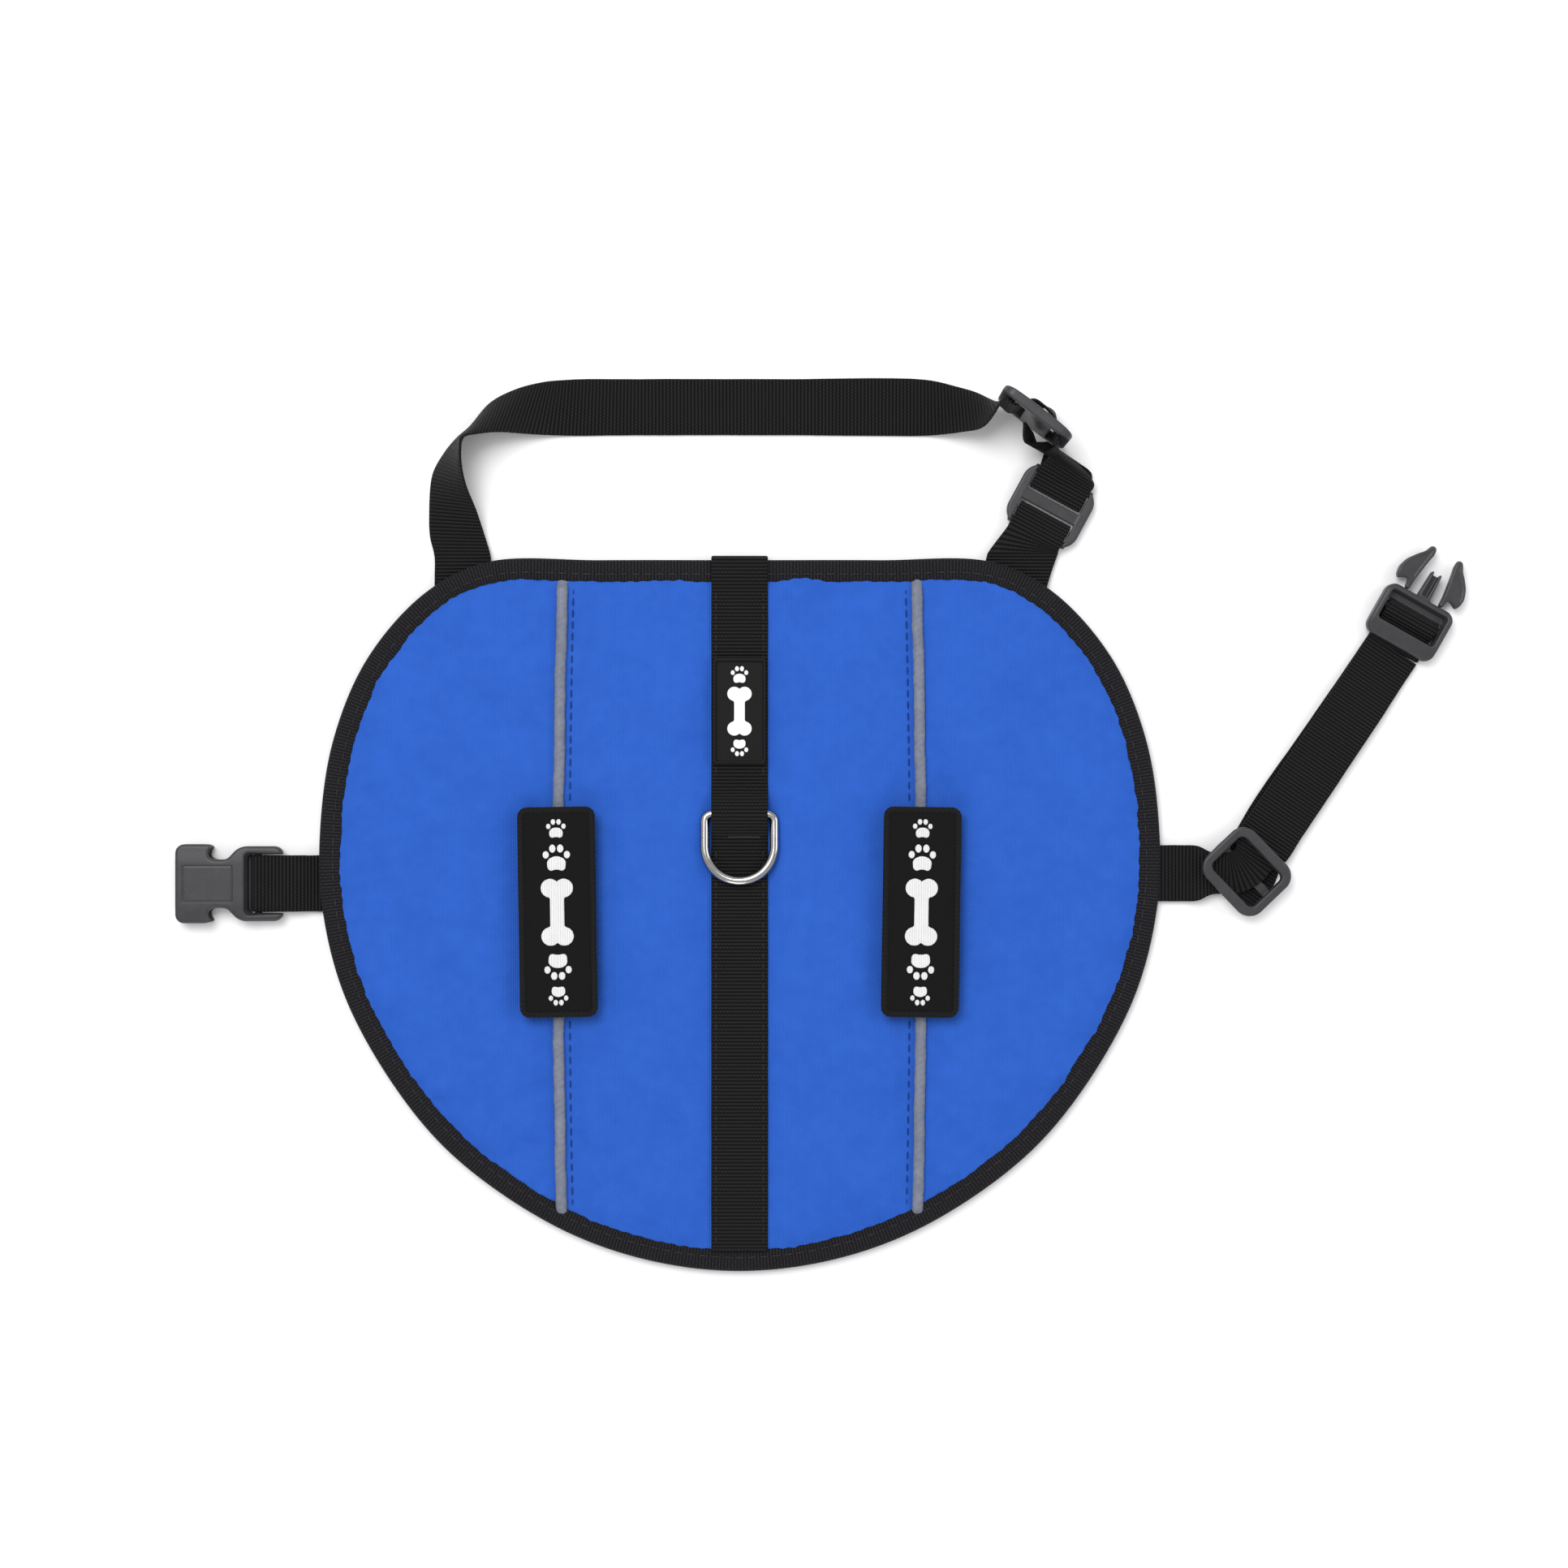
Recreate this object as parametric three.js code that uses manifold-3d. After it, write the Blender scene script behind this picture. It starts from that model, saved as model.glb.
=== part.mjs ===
// Dog support vest laid flat: a padded back panel with bound edges, a neck loop,
// a girth belt in two halves with a side-release buckle, a lead ring and two
// hook-and-loop patches.
//
// Millimetres, +Z up.  The origin is on the table, under the middle of the spine.
// +X is the wearer's right when the head end (+Y) points away.

import * as THREE from 'three';
import { mergeVertices } from 'three/addons/utils/BufferGeometryUtils.js';
import Module from 'manifold-3d';

const wasm = await Module();
wasm.setup();

// ---------------------------------------------------------------- sizes

const GAP = 0.3;                 // air left between pieces that touch

// the back panel
const VEST_WIDTH = 379.2;
const VEST_LENGTH = 321;
const LINING = 1.6;              // mesh lining thickness
const FOAM = 2.2;                // padding thickness
const SHELL = 0.8;               // woven shell thickness
const TAPE = 0.7;                // binding tape thickness
const BIND_WIDTH = 10;           // how far the binding laps onto the panel

// all straps are cut from one roll of webbing
const WEB_WIDTH = 25.4;
const WEB = 1.4;                 // webbing thickness

// seams on the back
const PIPE_X = 79.5;             // spine to piping seam
const PIPE_BOW = 2.2;            // how far the seams bow outwards
const PIPE_R = 1.9;              // piping bead radius
const CORE_R = 1.1;              // filler cord radius inside the bead

// lead ring
const RING_WIDTH = 35.6;
const RING_DEPTH = 34.2;
const WIRE_R = 2.1;
const RING_BAR_Y = 45.8;         // the straight bar's place on the spine

// rubber label
const LABEL_WIDTH = 24;
const LABEL_LENGTH = 47.8;
const LABEL_Y = 92.1;

// hook-and-loop patches
const PATCH_WIDTH = 34.5;
const PATCH_LENGTH = 94;
const PATCH_X = 81.5;
const PATCH_Y = 2;
const PATCH_TILT = 0.9;          // degrees, the left one leans the other way
const BORDER = 2.6;              // overlocked border width

// hardware
const BUCKLE_WIDTH = 33.8;       // strap frames of both buckle halves
const SOCKET_LENGTH = 48;
const SOCKET_THICK = 9;
const PLUG_LENGTH = 25;          // strap frame of the plug half
const SLIDER_WIDTH = 35;         // across the webbing
const SLIDER_LENGTH = 30;        // along the webbing
const SLIDER_THICK = 3.2;
const STRAP_PLAY = 1.1;          // side play of webbing in any window

// the girth belt
const TAB_Y = 14.5;
const TAB_LENGTH = 26.1;         // bending line to the socket's bar
const SOCKET_BAR = 9.5;          // the bar's place in the socket's strap window
const GIRTH_Y = 19.1;
const STUB_LENGTH = 36.6;        // bending line to the corner in the slider
const GIRTH_ANGLE = 56.3;        // degrees, the long run's heading
const GIRTH_RUN = 121.9;         // corner to the plug's bending line
const PLUG_ANGLE = 60.5;

// the neck loop
const NECK_ROOT_X = 125.2;       // where both ends leave the panel
const NECK_REACH = 67.7;         // bending line to the top run's centre line

// ---------------------------------------------------------------- levels

const LIP = TAPE;                                    // binding under the rim
const RIM_Z = LIP + GAP;                             // lining's rim sits on the lip
const TAIL_LOW = LINING + GAP;                       // sewn strap ends
const TAIL_MID = TAIL_LOW + WEB / 2;
const TAIL_TOP = TAIL_LOW + WEB;
const FOAM_LOW = LINING + GAP;
const FOAM_TOP = FOAM_LOW + FOAM;
const SHELL_LOW = FOAM_TOP + GAP;
const SHELL_TOP = SHELL_LOW + SHELL;
const BIND_LOW = SHELL_TOP + GAP;
const BIND_TOP = BIND_LOW + TAPE;
const PIPE_Z = FOAM_TOP + GAP + PIPE_R;
const WEB_FLAT = GAP + WEB / 2;                      // mid-height of webbing on the table
const HALF_WEB = WEB_WIDTH / 2;
const WINDOW = WEB_WIDTH + 2 * STRAP_PLAY;           // window width in any hardware
const HALF_W = VEST_WIDTH / 2;
const HALF_L = VEST_LENGTH / 2;

// ---------------------------------------------------------------- materials

const paint = (hex, roughness, metalness = 0) =>
  new THREE.MeshStandardMaterial({ color: hex, roughness, metalness });
const BLACK_WEB = () => paint(0x1c1c1e, 0.85);
const BLUE_CLOTH = () => paint(0x3a6fd2, 0.7);
const DARK_PLASTIC = () => paint(0x3c3c3f, 0.45);

const root = new THREE.Group();

function place(name, geometry, material, parent = root) {
  const mesh = new THREE.Mesh(geometry, material);
  mesh.name = name;
  parent.add(mesh);
  return mesh;
}

function framed(x, y, z, degrees, parent = root) {
  const group = new THREE.Group();
  group.position.set(x, y, z);
  group.rotation.z = THREE.MathUtils.degToRad(degrees);
  parent.add(group);
  return group;
}

// ---------------------------------------------------------------- solids

function solidOf(geometry) {
  const bare = geometry.clone();
  bare.deleteAttribute('normal');
  bare.deleteAttribute('uv');
  const merged = mergeVertices(bare, 1e-4);
  return new wasm.Manifold(new wasm.Mesh({
    numProp: 3,
    vertProperties: new Float32Array(merged.attributes.position.array),
    triVerts: new Uint32Array(merged.index.array),
  }));
}

function geometryOf(solid) {
  const mesh = solid.getMesh();
  const geometry = new THREE.BufferGeometry();
  geometry.setAttribute('position', new THREE.BufferAttribute(mesh.vertProperties, 3));
  geometry.setIndex(new THREE.BufferAttribute(mesh.triVerts, 1));
  return geometry;
}

function cut(base, ...tools) {
  return geometryOf(tools.reduce((solid, tool) => solid.subtract(solidOf(tool)), solidOf(base)));
}

function join(base, ...others) {
  return geometryOf(others.reduce((solid, other) => solid.add(solidOf(other)), solidOf(base)));
}

function common(base, tool) {
  return geometryOf(solidOf(base).intersect(solidOf(tool)));
}

// a block given by its low and high corners
function block(x0, y0, z0, x1, y1, z1) {
  const box = new THREE.BoxGeometry(x1 - x0, y1 - y0, z1 - z0);
  return box.translate((x0 + x1) / 2, (y0 + y1) / 2, (z0 + z1) / 2);
}

// a flat outline raised from one height to another
function slab(shape, low, high, curveSegments = 8) {
  const solid = new THREE.ExtrudeGeometry(shape, {
    depth: high - low, bevelEnabled: false, curveSegments,
  });
  return solid.translate(0, 0, low);
}

// a rod along Y
function rodY(x, z, radius, y0, y1, sides = 16) {
  const rod = new THREE.CylinderGeometry(radius, radius, y1 - y0, sides);
  return rod.translate(x, (y0 + y1) / 2, z);
}

function roundedRect(x0, y0, x1, y1, r) {
  const shape = new THREE.Shape();
  shape.moveTo(x0 + r, y0);
  shape.lineTo(x1 - r, y0);
  shape.absarc(x1 - r, y0 + r, r, -Math.PI / 2, 0);
  shape.lineTo(x1, y1 - r);
  shape.absarc(x1 - r, y1 - r, r, 0, Math.PI / 2);
  shape.lineTo(x0 + r, y1);
  shape.absarc(x0 + r, y1 - r, r, Math.PI / 2, Math.PI);
  shape.lineTo(x0, y0 + r);
  shape.absarc(x0 + r, y0 + r, r, Math.PI, 1.5 * Math.PI);
  return shape;
}

// Closed solid from a grid of points: a net of quads on each face and a wall all round.
// rows[i][j] is a point of the middle surface; the faces lie half a thickness away.
function clothSolid(rows, thickness) {
  const n = rows.length;
  const m = rows[0].length;
  const normal = (i, j) => {
    const along = rows[Math.min(i + 1, n - 1)][j].clone().sub(rows[Math.max(i - 1, 0)][j]);
    const across = rows[i][Math.min(j + 1, m - 1)].clone().sub(rows[i][Math.max(j - 1, 0)]);
    return along.cross(across).normalize().multiplyScalar(thickness / 2);
  };
  const points = [];
  for (const side of [1, -1]) {
    for (let i = 0; i < n; i++) {
      for (let j = 0; j < m; j++) {
        points.push(rows[i][j].clone().addScaledVector(normal(i, j), side));
      }
    }
  }
  const at = (side, i, j) => (side * n + i) * m + j;
  const index = [];
  const quad = (a, b, c, d) => index.push(a, b, c, a, c, d);
  for (let i = 0; i + 1 < n; i++) {
    for (let j = 0; j + 1 < m; j++) {
      quad(at(0, i, j), at(0, i + 1, j), at(0, i + 1, j + 1), at(0, i, j + 1));
      quad(at(1, i, j), at(1, i, j + 1), at(1, i + 1, j + 1), at(1, i + 1, j));
    }
    quad(at(0, i, 0), at(1, i, 0), at(1, i + 1, 0), at(0, i + 1, 0));
    quad(at(0, i, m - 1), at(0, i + 1, m - 1), at(1, i + 1, m - 1), at(1, i, m - 1));
  }
  for (let j = 0; j + 1 < m; j++) {
    quad(at(0, 0, j), at(0, 0, j + 1), at(1, 0, j + 1), at(1, 0, j));
    quad(at(0, n - 1, j), at(1, n - 1, j), at(1, n - 1, j + 1), at(0, n - 1, j + 1));
  }
  const geometry = new THREE.BufferGeometry();
  geometry.setAttribute('position',
    new THREE.Float32BufferAttribute(points.flatMap((p) => p.toArray()), 3));
  geometry.setIndex(signedVolume(points, index) < 0 ? index.reverse() : index);
  return geometry;
}

function signedVolume(points, index) {
  let six = 0;
  for (let k = 0; k < index.length; k += 3) {
    const [a, b, c] = [points[index[k]], points[index[k + 1]], points[index[k + 2]]];
    six += a.dot(b.clone().cross(c));
  }
  return six;
}

// a net between two edges of a strap, each a list of points
function ruled(left, right, columns = 2) {
  return left.map((point, i) => Array.from({ length: columns },
    (_, j) => point.clone().lerp(right[i], j / (columns - 1))));
}

// Webbing whose side view is a path: x of the path runs along +X, y of it is the height.
function webbingRun(path, width = WEB_WIDTH, pieces = 6) {
  const points = path.getPoints(pieces);
  const clean = points.filter((p, i) => i === 0 || p.distanceTo(points[i - 1]) > 0.01);
  const edge = (side) => clean.map((p) => new THREE.Vector3(p.x, side * width / 2, p.y));
  return clothSolid(ruled(edge(-1), edge(1)), WEB);
}

// a round wire bent along a closed path in the XY plane
function closedWire(points, radius, sides = 10) {
  const n = points.length;
  const up = new THREE.Vector3(0, 0, 1);
  const ring = points.map((p, i) => {
    const along = points[(i + 1) % n].clone().sub(points[(i - 1 + n) % n]).normalize();
    const out = along.clone().cross(up);
    return Array.from({ length: sides }, (_, k) => {
      const turn = (2 * Math.PI * k) / sides;
      return p.clone().addScaledVector(out, radius * Math.cos(turn))
        .addScaledVector(up, radius * Math.sin(turn));
    });
  });
  const index = [];
  for (let i = 0; i < n; i++) {
    for (let k = 0; k < sides; k++) {
      const [a, b] = [i * sides + k, i * sides + ((k + 1) % sides)];
      const [c, d] = [((i + 1) % n) * sides + ((k + 1) % sides), ((i + 1) % n) * sides + k];
      index.push(a, b, c, a, c, d);
    }
  }
  const flat = ring.flat();
  const geometry = new THREE.BufferGeometry();
  geometry.setAttribute('position',
    new THREE.Float32BufferAttribute(flat.flatMap((p) => p.toArray()), 3));
  geometry.setIndex(signedVolume(flat, index) < 0 ? index.reverse() : index);
  return geometry;
}

// ---------------------------------------------------------------- the panel's outline

// Right half of the outline from the neck to the tail, as shares of half the panel.
const HALF_OUTLINE = [
  [0, 1], [0.33, 1], [0.6, 0.995], [0.745, 0.912], [0.885, 0.727], [0.967, 0.499],
  [0.999, 0.25], [0.994, 0.02], [0.938, -0.235], [0.805, -0.51], [0.666, -0.693],
  [0.436, -0.876], [0.223, -0.968], [0, -1],
];

function edgeCurve() {
  const right = HALF_OUTLINE.map(([x, y]) => new THREE.Vector3(x * HALF_W, y * HALF_L, 0));
  const left = HALF_OUTLINE.slice(1, -1).reverse()
    .map(([x, y]) => new THREE.Vector3(-x * HALF_W, y * HALF_L, 0));
  return new THREE.CatmullRomCurve3([...right, ...left], true, 'centripetal');
}

const EDGE = edgeCurve();
const EDGE_STEPS = 88;

// the outline moved inwards by a distance
function insetEdge(inset, steps = EDGE_STEPS) {
  return Array.from({ length: steps }, (_, i) => {
    const p = EDGE.getPointAt(i / steps);
    const t = EDGE.getTangentAt(i / steps);
    return new THREE.Vector2(p.x + t.y * inset, p.y - t.x * inset);
  });
}

function panelSlab(inset, low, high) {
  return slab(new THREE.Shape(insetEdge(inset)), low, high);
}

// ---------------------------------------------------------------- seams

// the piping seam's distance from the spine at a height y
const seamX = (side, y) => side * (PIPE_X + PIPE_BOW * (1 - (y / HALF_L) ** 2));

// region of the plan between two seam-following sides, wide enough for the panel
function seamRegion(fromX, toX) {
  const heights = Array.from({ length: 17 }, (_, i) => -HALF_L + (i / 16) * VEST_LENGTH);
  const up = heights.map((y) => new THREE.Vector2(fromX(y), y));
  const down = heights.reverse().map((y) => new THREE.Vector2(toX(y), y));
  return new THREE.Shape([...up, ...down]);
}

function seamRod(side, radius, extra) {
  const reach = HALF_L * 0.86 + extra;
  const points = Array.from({ length: 17 }, (_, i) => {
    const y = -reach + (i / 16) * 2 * reach;
    return new THREE.Vector3(seamX(side, y), y, PIPE_Z);
  });
  const circle = new THREE.Shape().absarc(0, 0, radius, 0, 2 * Math.PI);
  return new THREE.ExtrudeGeometry(circle, {
    steps: 16, curveSegments: 6, bevelEnabled: false,
    extrudePath: new THREE.CatmullRomCurve3(points),
  });
}

// ---------------------------------------------------------------- the panel

const NECK_LINE_Y = HALF_L + 1.4;            // the neck loop bends along this line
const SIDE_LINE_X = HALF_W + 1.4;        // the belt halves bend along these
const TAIL_INSIDE = 22;                      // sewn length of a strap inside the panel

// the sewn end of a strap inside the panel, cut square at its bending line
function tail(x0, y0, x1, y1) {
  return block(x0, y0, TAIL_LOW, x1, y1, TAIL_TOP);
}

const TAILS = {
  neck_tail_left: [-NECK_ROOT_X - HALF_WEB, HALF_L - TAIL_INSIDE,
    -NECK_ROOT_X + HALF_WEB, NECK_LINE_Y - GAP / 2],
  neck_tail_right: [NECK_ROOT_X - HALF_WEB, HALF_L - TAIL_INSIDE,
    NECK_ROOT_X + HALF_WEB, NECK_LINE_Y - GAP / 2],
  girth_tail_left: [-SIDE_LINE_X + GAP / 2, TAB_Y - HALF_WEB,
    -HALF_W + TAIL_INSIDE, TAB_Y + HALF_WEB],
  girth_tail_right: [HALF_W - TAIL_INSIDE, GIRTH_Y - HALF_WEB,
    SIDE_LINE_X - GAP / 2, GIRTH_Y + HALF_WEB],
};

// the room that a sewn end needs in the padding and through the binding
function tailPocket([x0, y0, x1, y1]) {
  return block(x0 - GAP, y0 - GAP, TAIL_LOW - GAP, x1 + GAP, y1 + GAP, TAIL_TOP + GAP);
}

function addPanel() {
  const pockets = Object.values(TAILS).map(tailPocket);
  const lining = join(
    panelSlab(TAPE + GAP, RIM_Z, LINING),
    panelSlab(BIND_WIDTH + GAP, 0, LINING),
  );
  place('lining_panel', lining, paint(0x242427, 0.95));
  const foam = cut(panelSlab(TAPE + 2 * GAP, FOAM_LOW, FOAM_TOP), ...pockets);
  place('padding_foam', foam, paint(0xd8d6cc, 0.95));

  const cover = panelSlab(TAPE + GAP, SHELL_LOW, SHELL_TOP);
  const room = PIPE_R + GAP;
  const far = HALF_W + 5;
  const regions = {
    shell_left: seamRegion(() => -far, (y) => seamX(-1, y) - room),
    shell_centre: seamRegion((y) => seamX(-1, y) + room, (y) => seamX(1, y) - room),
    shell_right: seamRegion((y) => seamX(1, y) + room, () => far),
  };
  for (const [name, region] of Object.entries(regions)) {
    place(name, common(cover, slab(region, SHELL_LOW - 1, SHELL_TOP + 1)), BLUE_CLOTH());
  }

  const band = cut(
    panelSlab(0, 0, BIND_TOP),
    panelSlab(BIND_WIDTH, -1, BIND_TOP + 1),
    cut(panelSlab(TAPE, LIP, BIND_LOW), panelSlab(BIND_WIDTH + 1, 0, BIND_TOP)),
    ...pockets,
  );
  place('edge_binding', band, paint(0x262629, 0.9));

  for (const [name, corners] of Object.entries(TAILS)) {
    place(name, tail(...corners), BLACK_WEB());
  }
  for (const [side, word] of [[-1, 'left'], [1, 'right']]) {
    const bore = seamRod(side, CORE_R + GAP, 4);
    const sleeve = common(cut(seamRod(side, PIPE_R, 3), bore), panelSlab(BIND_WIDTH + GAP, 0, 20));
    place(`piping_sleeve_${word}`, sleeve, paint(0x7b8087, 0.35));
    const core = common(seamRod(side, CORE_R, 3), panelSlab(BIND_WIDTH + 1, 0, 20));
    place(`piping_cord_${word}`, core, paint(0xdadad8, 0.9));
  }
}

// ---------------------------------------------------------------- the spine

const SPINE_MID = SHELL_TOP + GAP + WEB / 2;
const RING_Z = SHELL_TOP + GAP + WIRE_R;
const HUMP_MID = RING_Z + WIRE_R + GAP + WEB / 2;
const HUMP_HALF = 9;             // half the length of the webbing's hump over the ring bar

function addSpine() {
  const path = new THREE.Path();
  const wrap = GAP + WEB / 2;
  const overLip = BIND_TOP + wrap;
  path.moveTo(-HALF_L + BIND_WIDTH + 3 * GAP, SPINE_MID);
  path.lineTo(RING_BAR_Y - HUMP_HALF, SPINE_MID);
  path.bezierCurveTo(RING_BAR_Y - 5, SPINE_MID, RING_BAR_Y - 5, HUMP_MID, RING_BAR_Y, HUMP_MID);
  path.bezierCurveTo(RING_BAR_Y + 5, HUMP_MID, RING_BAR_Y + 5, SPINE_MID,
    RING_BAR_Y + HUMP_HALF, SPINE_MID);
  path.lineTo(HALF_L - BIND_WIDTH - 4, SPINE_MID);
  path.lineTo(HALF_L - BIND_WIDTH - 1, overLip);
  path.lineTo(HALF_L, overLip);
  path.absarc(HALF_L, BIND_TOP, wrap, Math.PI / 2, 0, true);
  path.lineTo(HALF_L + wrap, TAIL_LOW);
  const spine = webbingRun(path);
  spine.rotateZ(Math.PI / 2);
  place('spine_webbing', spine, BLACK_WEB());

  const base = SPINE_MID + WEB / 2 + GAP;
  const plateTop = base + 1.8;
  const [w, l] = [LABEL_WIDTH / 2, LABEL_LENGTH / 2];
  const rim = 1.6;
  const plate = slab(roundedRect(-w, -l, w, l, 1.2), base, plateTop, 3);
  const well = slab(roundedRect(rim - w, rim - l, w - rim, l - rim, 0.8), base + 1, plateTop + 1, 3);
  const group = framed(0, LABEL_Y, 0, 0);
  place('label_plate', cut(plate, well), paint(0x161617, 0.6), group);
  place('label_emblem', slab(boneShape(32, 9), base + 1 + GAP, plateTop + 0.2, 4),
    paint(0xf2f2f2, 0.6), group);
}

// a dog bone seen from above, lying along Y
function boneShape(length, width) {
  const knob = width * 0.29;
  const y = length / 2 - knob;
  const x = width / 2 - knob;
  const waist = width * 0.21;
  const shape = new THREE.Shape();
  shape.moveTo(waist, -y + knob);
  shape.lineTo(waist, y - knob);
  shape.absarc(x, y, knob, -0.9, Math.PI * 0.72);
  shape.absarc(-x, y, knob, Math.PI * 0.28, Math.PI + 0.9);
  shape.lineTo(-waist, y - knob);
  shape.lineTo(-waist, -y + knob);
  shape.absarc(-x, -y, knob, Math.PI - 0.9, Math.PI * 1.72);
  shape.absarc(x, -y, knob, Math.PI * 1.28, 2 * Math.PI + 0.9);
  return shape;
}

function addLeadRing() {
  const half = RING_WIDTH / 2 - WIRE_R;
  const corner = 3.2;
  const legs = RING_DEPTH - 2 * WIRE_R - half;
  const outline = new THREE.Path();
  outline.moveTo(-half + corner, 0);
  outline.lineTo(half - corner, 0);
  outline.absarc(half - corner, -corner, corner, Math.PI / 2, 0, true);
  outline.lineTo(half, -legs);
  outline.absarc(0, -legs, half, 0, -Math.PI, true);
  outline.lineTo(-half, -corner);
  outline.absarc(-half + corner, -corner, corner, Math.PI, Math.PI / 2, true);
  const points = outline.getSpacedPoints(56).slice(0, -1)
    .map((p) => new THREE.Vector3(p.x, p.y, 0));
  const rise = SPINE_MID + WEB / 2 + GAP + WIRE_R - RING_Z;
  const lean = Math.asin((rise + GAP) / (legs + half - 2));
  const group = framed(0, RING_BAR_Y, RING_Z, 0);
  group.rotation.x = -lean;
  place('d_ring', closedWire(points, WIRE_R), paint(0xd9d9dc, 0.12, 1), group);
}

// ---------------------------------------------------------------- patches

const PATCH_BASE_TOP = PIPE_Z + PIPE_R + GAP + 1.1;
const HOOK_LOW = PATCH_BASE_TOP + GAP;
const HOOK_TOP = HOOK_LOW + 1.3;
const FACE_LOW = HOOK_TOP + GAP;
const FACE_TOP = FACE_LOW + 1.4;
const BORDER_TOP = FACE_TOP + 0.5;

function patchRect(inset, radius) {
  const [w, l] = [PATCH_WIDTH / 2 - inset, PATCH_LENGTH / 2 - inset];
  return roundedRect(-w, -l, w, l, radius);
}

function addPatch(side, word) {
  const group = framed(side * PATCH_X, PATCH_Y, 0, side * -PATCH_TILT);
  const channel = slab(
    seamRegion((y) => seamX(side, y) - PIPE_R - GAP, (y) => seamX(side, y) + PIPE_R + GAP),
    0, PIPE_Z + PIPE_R + GAP,
  );
  const pad = slab(patchRect(1.2, 2), SHELL_TOP + GAP, PATCH_BASE_TOP, 3);
  group.updateMatrixWorld(true);
  const inGroup = channel.applyMatrix4(group.matrixWorld.clone().invert());
  place(`loop_base_${word}`, cut(pad, inGroup), paint(0x1b1b1d, 0.95), group);
  place(`patch_hook_${word}`, slab(patchRect(1.6, 2), HOOK_LOW, HOOK_TOP, 3),
    paint(0x18181a, 0.9), group);
  place(`patch_face_${word}`, slab(patchRect(BORDER + GAP, 1.2), FACE_LOW, FACE_TOP, 3),
    paint(0x151517, 0.9), group);
  const border = cut(slab(patchRect(0, 3.4), FACE_LOW, BORDER_TOP, 4),
    slab(patchRect(BORDER, 1.5), FACE_LOW - 1, BORDER_TOP + 1, 3));
  place(`patch_border_${word}`, border, paint(0x101012, 0.85), group);
  place(`patch_bone_${word}`, slab(boneShape(30, 14), FACE_TOP + GAP, FACE_TOP + GAP + 0.6, 4),
    paint(0xeeeeee, 0.8), group);
}

// ---------------------------------------------------------------- webbing hardware

const BAR_R = 1.5;
const LOOP_R = BAR_R + GAP + WEB / 2;                // webbing's bend round a bar
const LOOP_Z = WEB_FLAT + LOOP_R;                    // height of a bar held in a loop
const LOOP_TOP = LOOP_Z + LOOP_R;                    // webbing over such a bar

// A plate in its own plane with windows in it, each from one X to another.  It runs along X, the
// webbing's way, and is as wide as SLIDER_WIDTH along Y.
function framePlate(length, windows, thick) {
  const [l, w, win] = [length / 2, SLIDER_WIDTH / 2, WINDOW / 2];
  const body = slab(roundedRect(-l, -w, l, w, 6), -thick / 2, thick / 2, 4);
  return cut(body, ...windows.map(([from, to]) => block(from, -win, -thick, to, win, thick)));
}

// ---------------------------------------------------------------- the left belt half

function addTab() {
  const group = framed(-SIDE_LINE_X - GAP / 2, TAB_Y, 0, 180);
  const path = new THREE.Path();
  path.moveTo(0, TAIL_MID);
  path.bezierCurveTo(4, TAIL_MID, 6, LOOP_TOP, 11, LOOP_TOP);
  path.lineTo(TAB_LENGTH, LOOP_TOP);
  path.absarc(TAB_LENGTH, LOOP_Z, LOOP_R, Math.PI / 2, -Math.PI / 2, true);
  path.lineTo(5, WEB_FLAT);
  place('girth_tab', webbingRun(path), BLACK_WEB(), group);
  return group;
}

const SOCKET_LOW = 0.6;

// Side-release socket.  X runs from near its strap end to its mouth, and the bar is put at X = 0
// at the end.
function socketGeometry() {
  const front = SOCKET_LENGTH - BAR_R - 0.5;
  const w = BUCKLE_WIDTH / 2;
  const outline = new THREE.Shape();
  const side = (s) => [
    [-BAR_R - 0.5, s * (w - 2)], [0.5, s * w], [14.5, s * w], [20, s * (w - 2.6)],
    [25.5, s * 11], [29.5, s * 10.9], [31.4, s * 12.4], [30.4, s * 15], [29.6, s * 17],
    [32, s * 17.8], [front - 3, s * 17.8], [front, s * 15.2],
  ].map(([x, y]) => new THREE.Vector2(x, y));
  outline.setFromPoints([...side(-1), ...side(1).reverse()]);
  const low = SOCKET_LOW;
  const high = SOCKET_LOW + SOCKET_THICK;
  const strapEnd = block(-10, -30, LOOP_Z + 3, 13.5, 30, high + 5);
  const window = block(-10, -WINDOW / 2, -5, 14.2, WINDOW / 2, high + 5);
  const bar = rodY(SOCKET_BAR, LOOP_Z, BAR_R, -WINDOW / 2 - 1, WINDOW / 2 + 1, 12);
  const mouth = block(28, -14.8, low + 1.9, front + 5, 14.8, high - 1.9);
  const throat = block(20, -7.5, low + 1.9, 30, 7.5, high - 1.9);
  const ports = block(27.2, -25, low + 1.9, 32.6, 25, high - 1.9);
  const field = block(23.5, -7.5, high - 0.5, front - 4, 7.5, high + 1);
  const body = cut(slab(outline, low, high), strapEnd, window, mouth, throat, ports, field);
  return join(body, bar).translate(-SOCKET_BAR, 0, 0);
}

function addSocket() {
  const group = framed(-SIDE_LINE_X - GAP / 2 - TAB_LENGTH, TAB_Y, 0, 180);
  place('buckle_socket', socketGeometry(), DARK_PLASTIC(), group);
}

// ---------------------------------------------------------------- the right belt half

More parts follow.
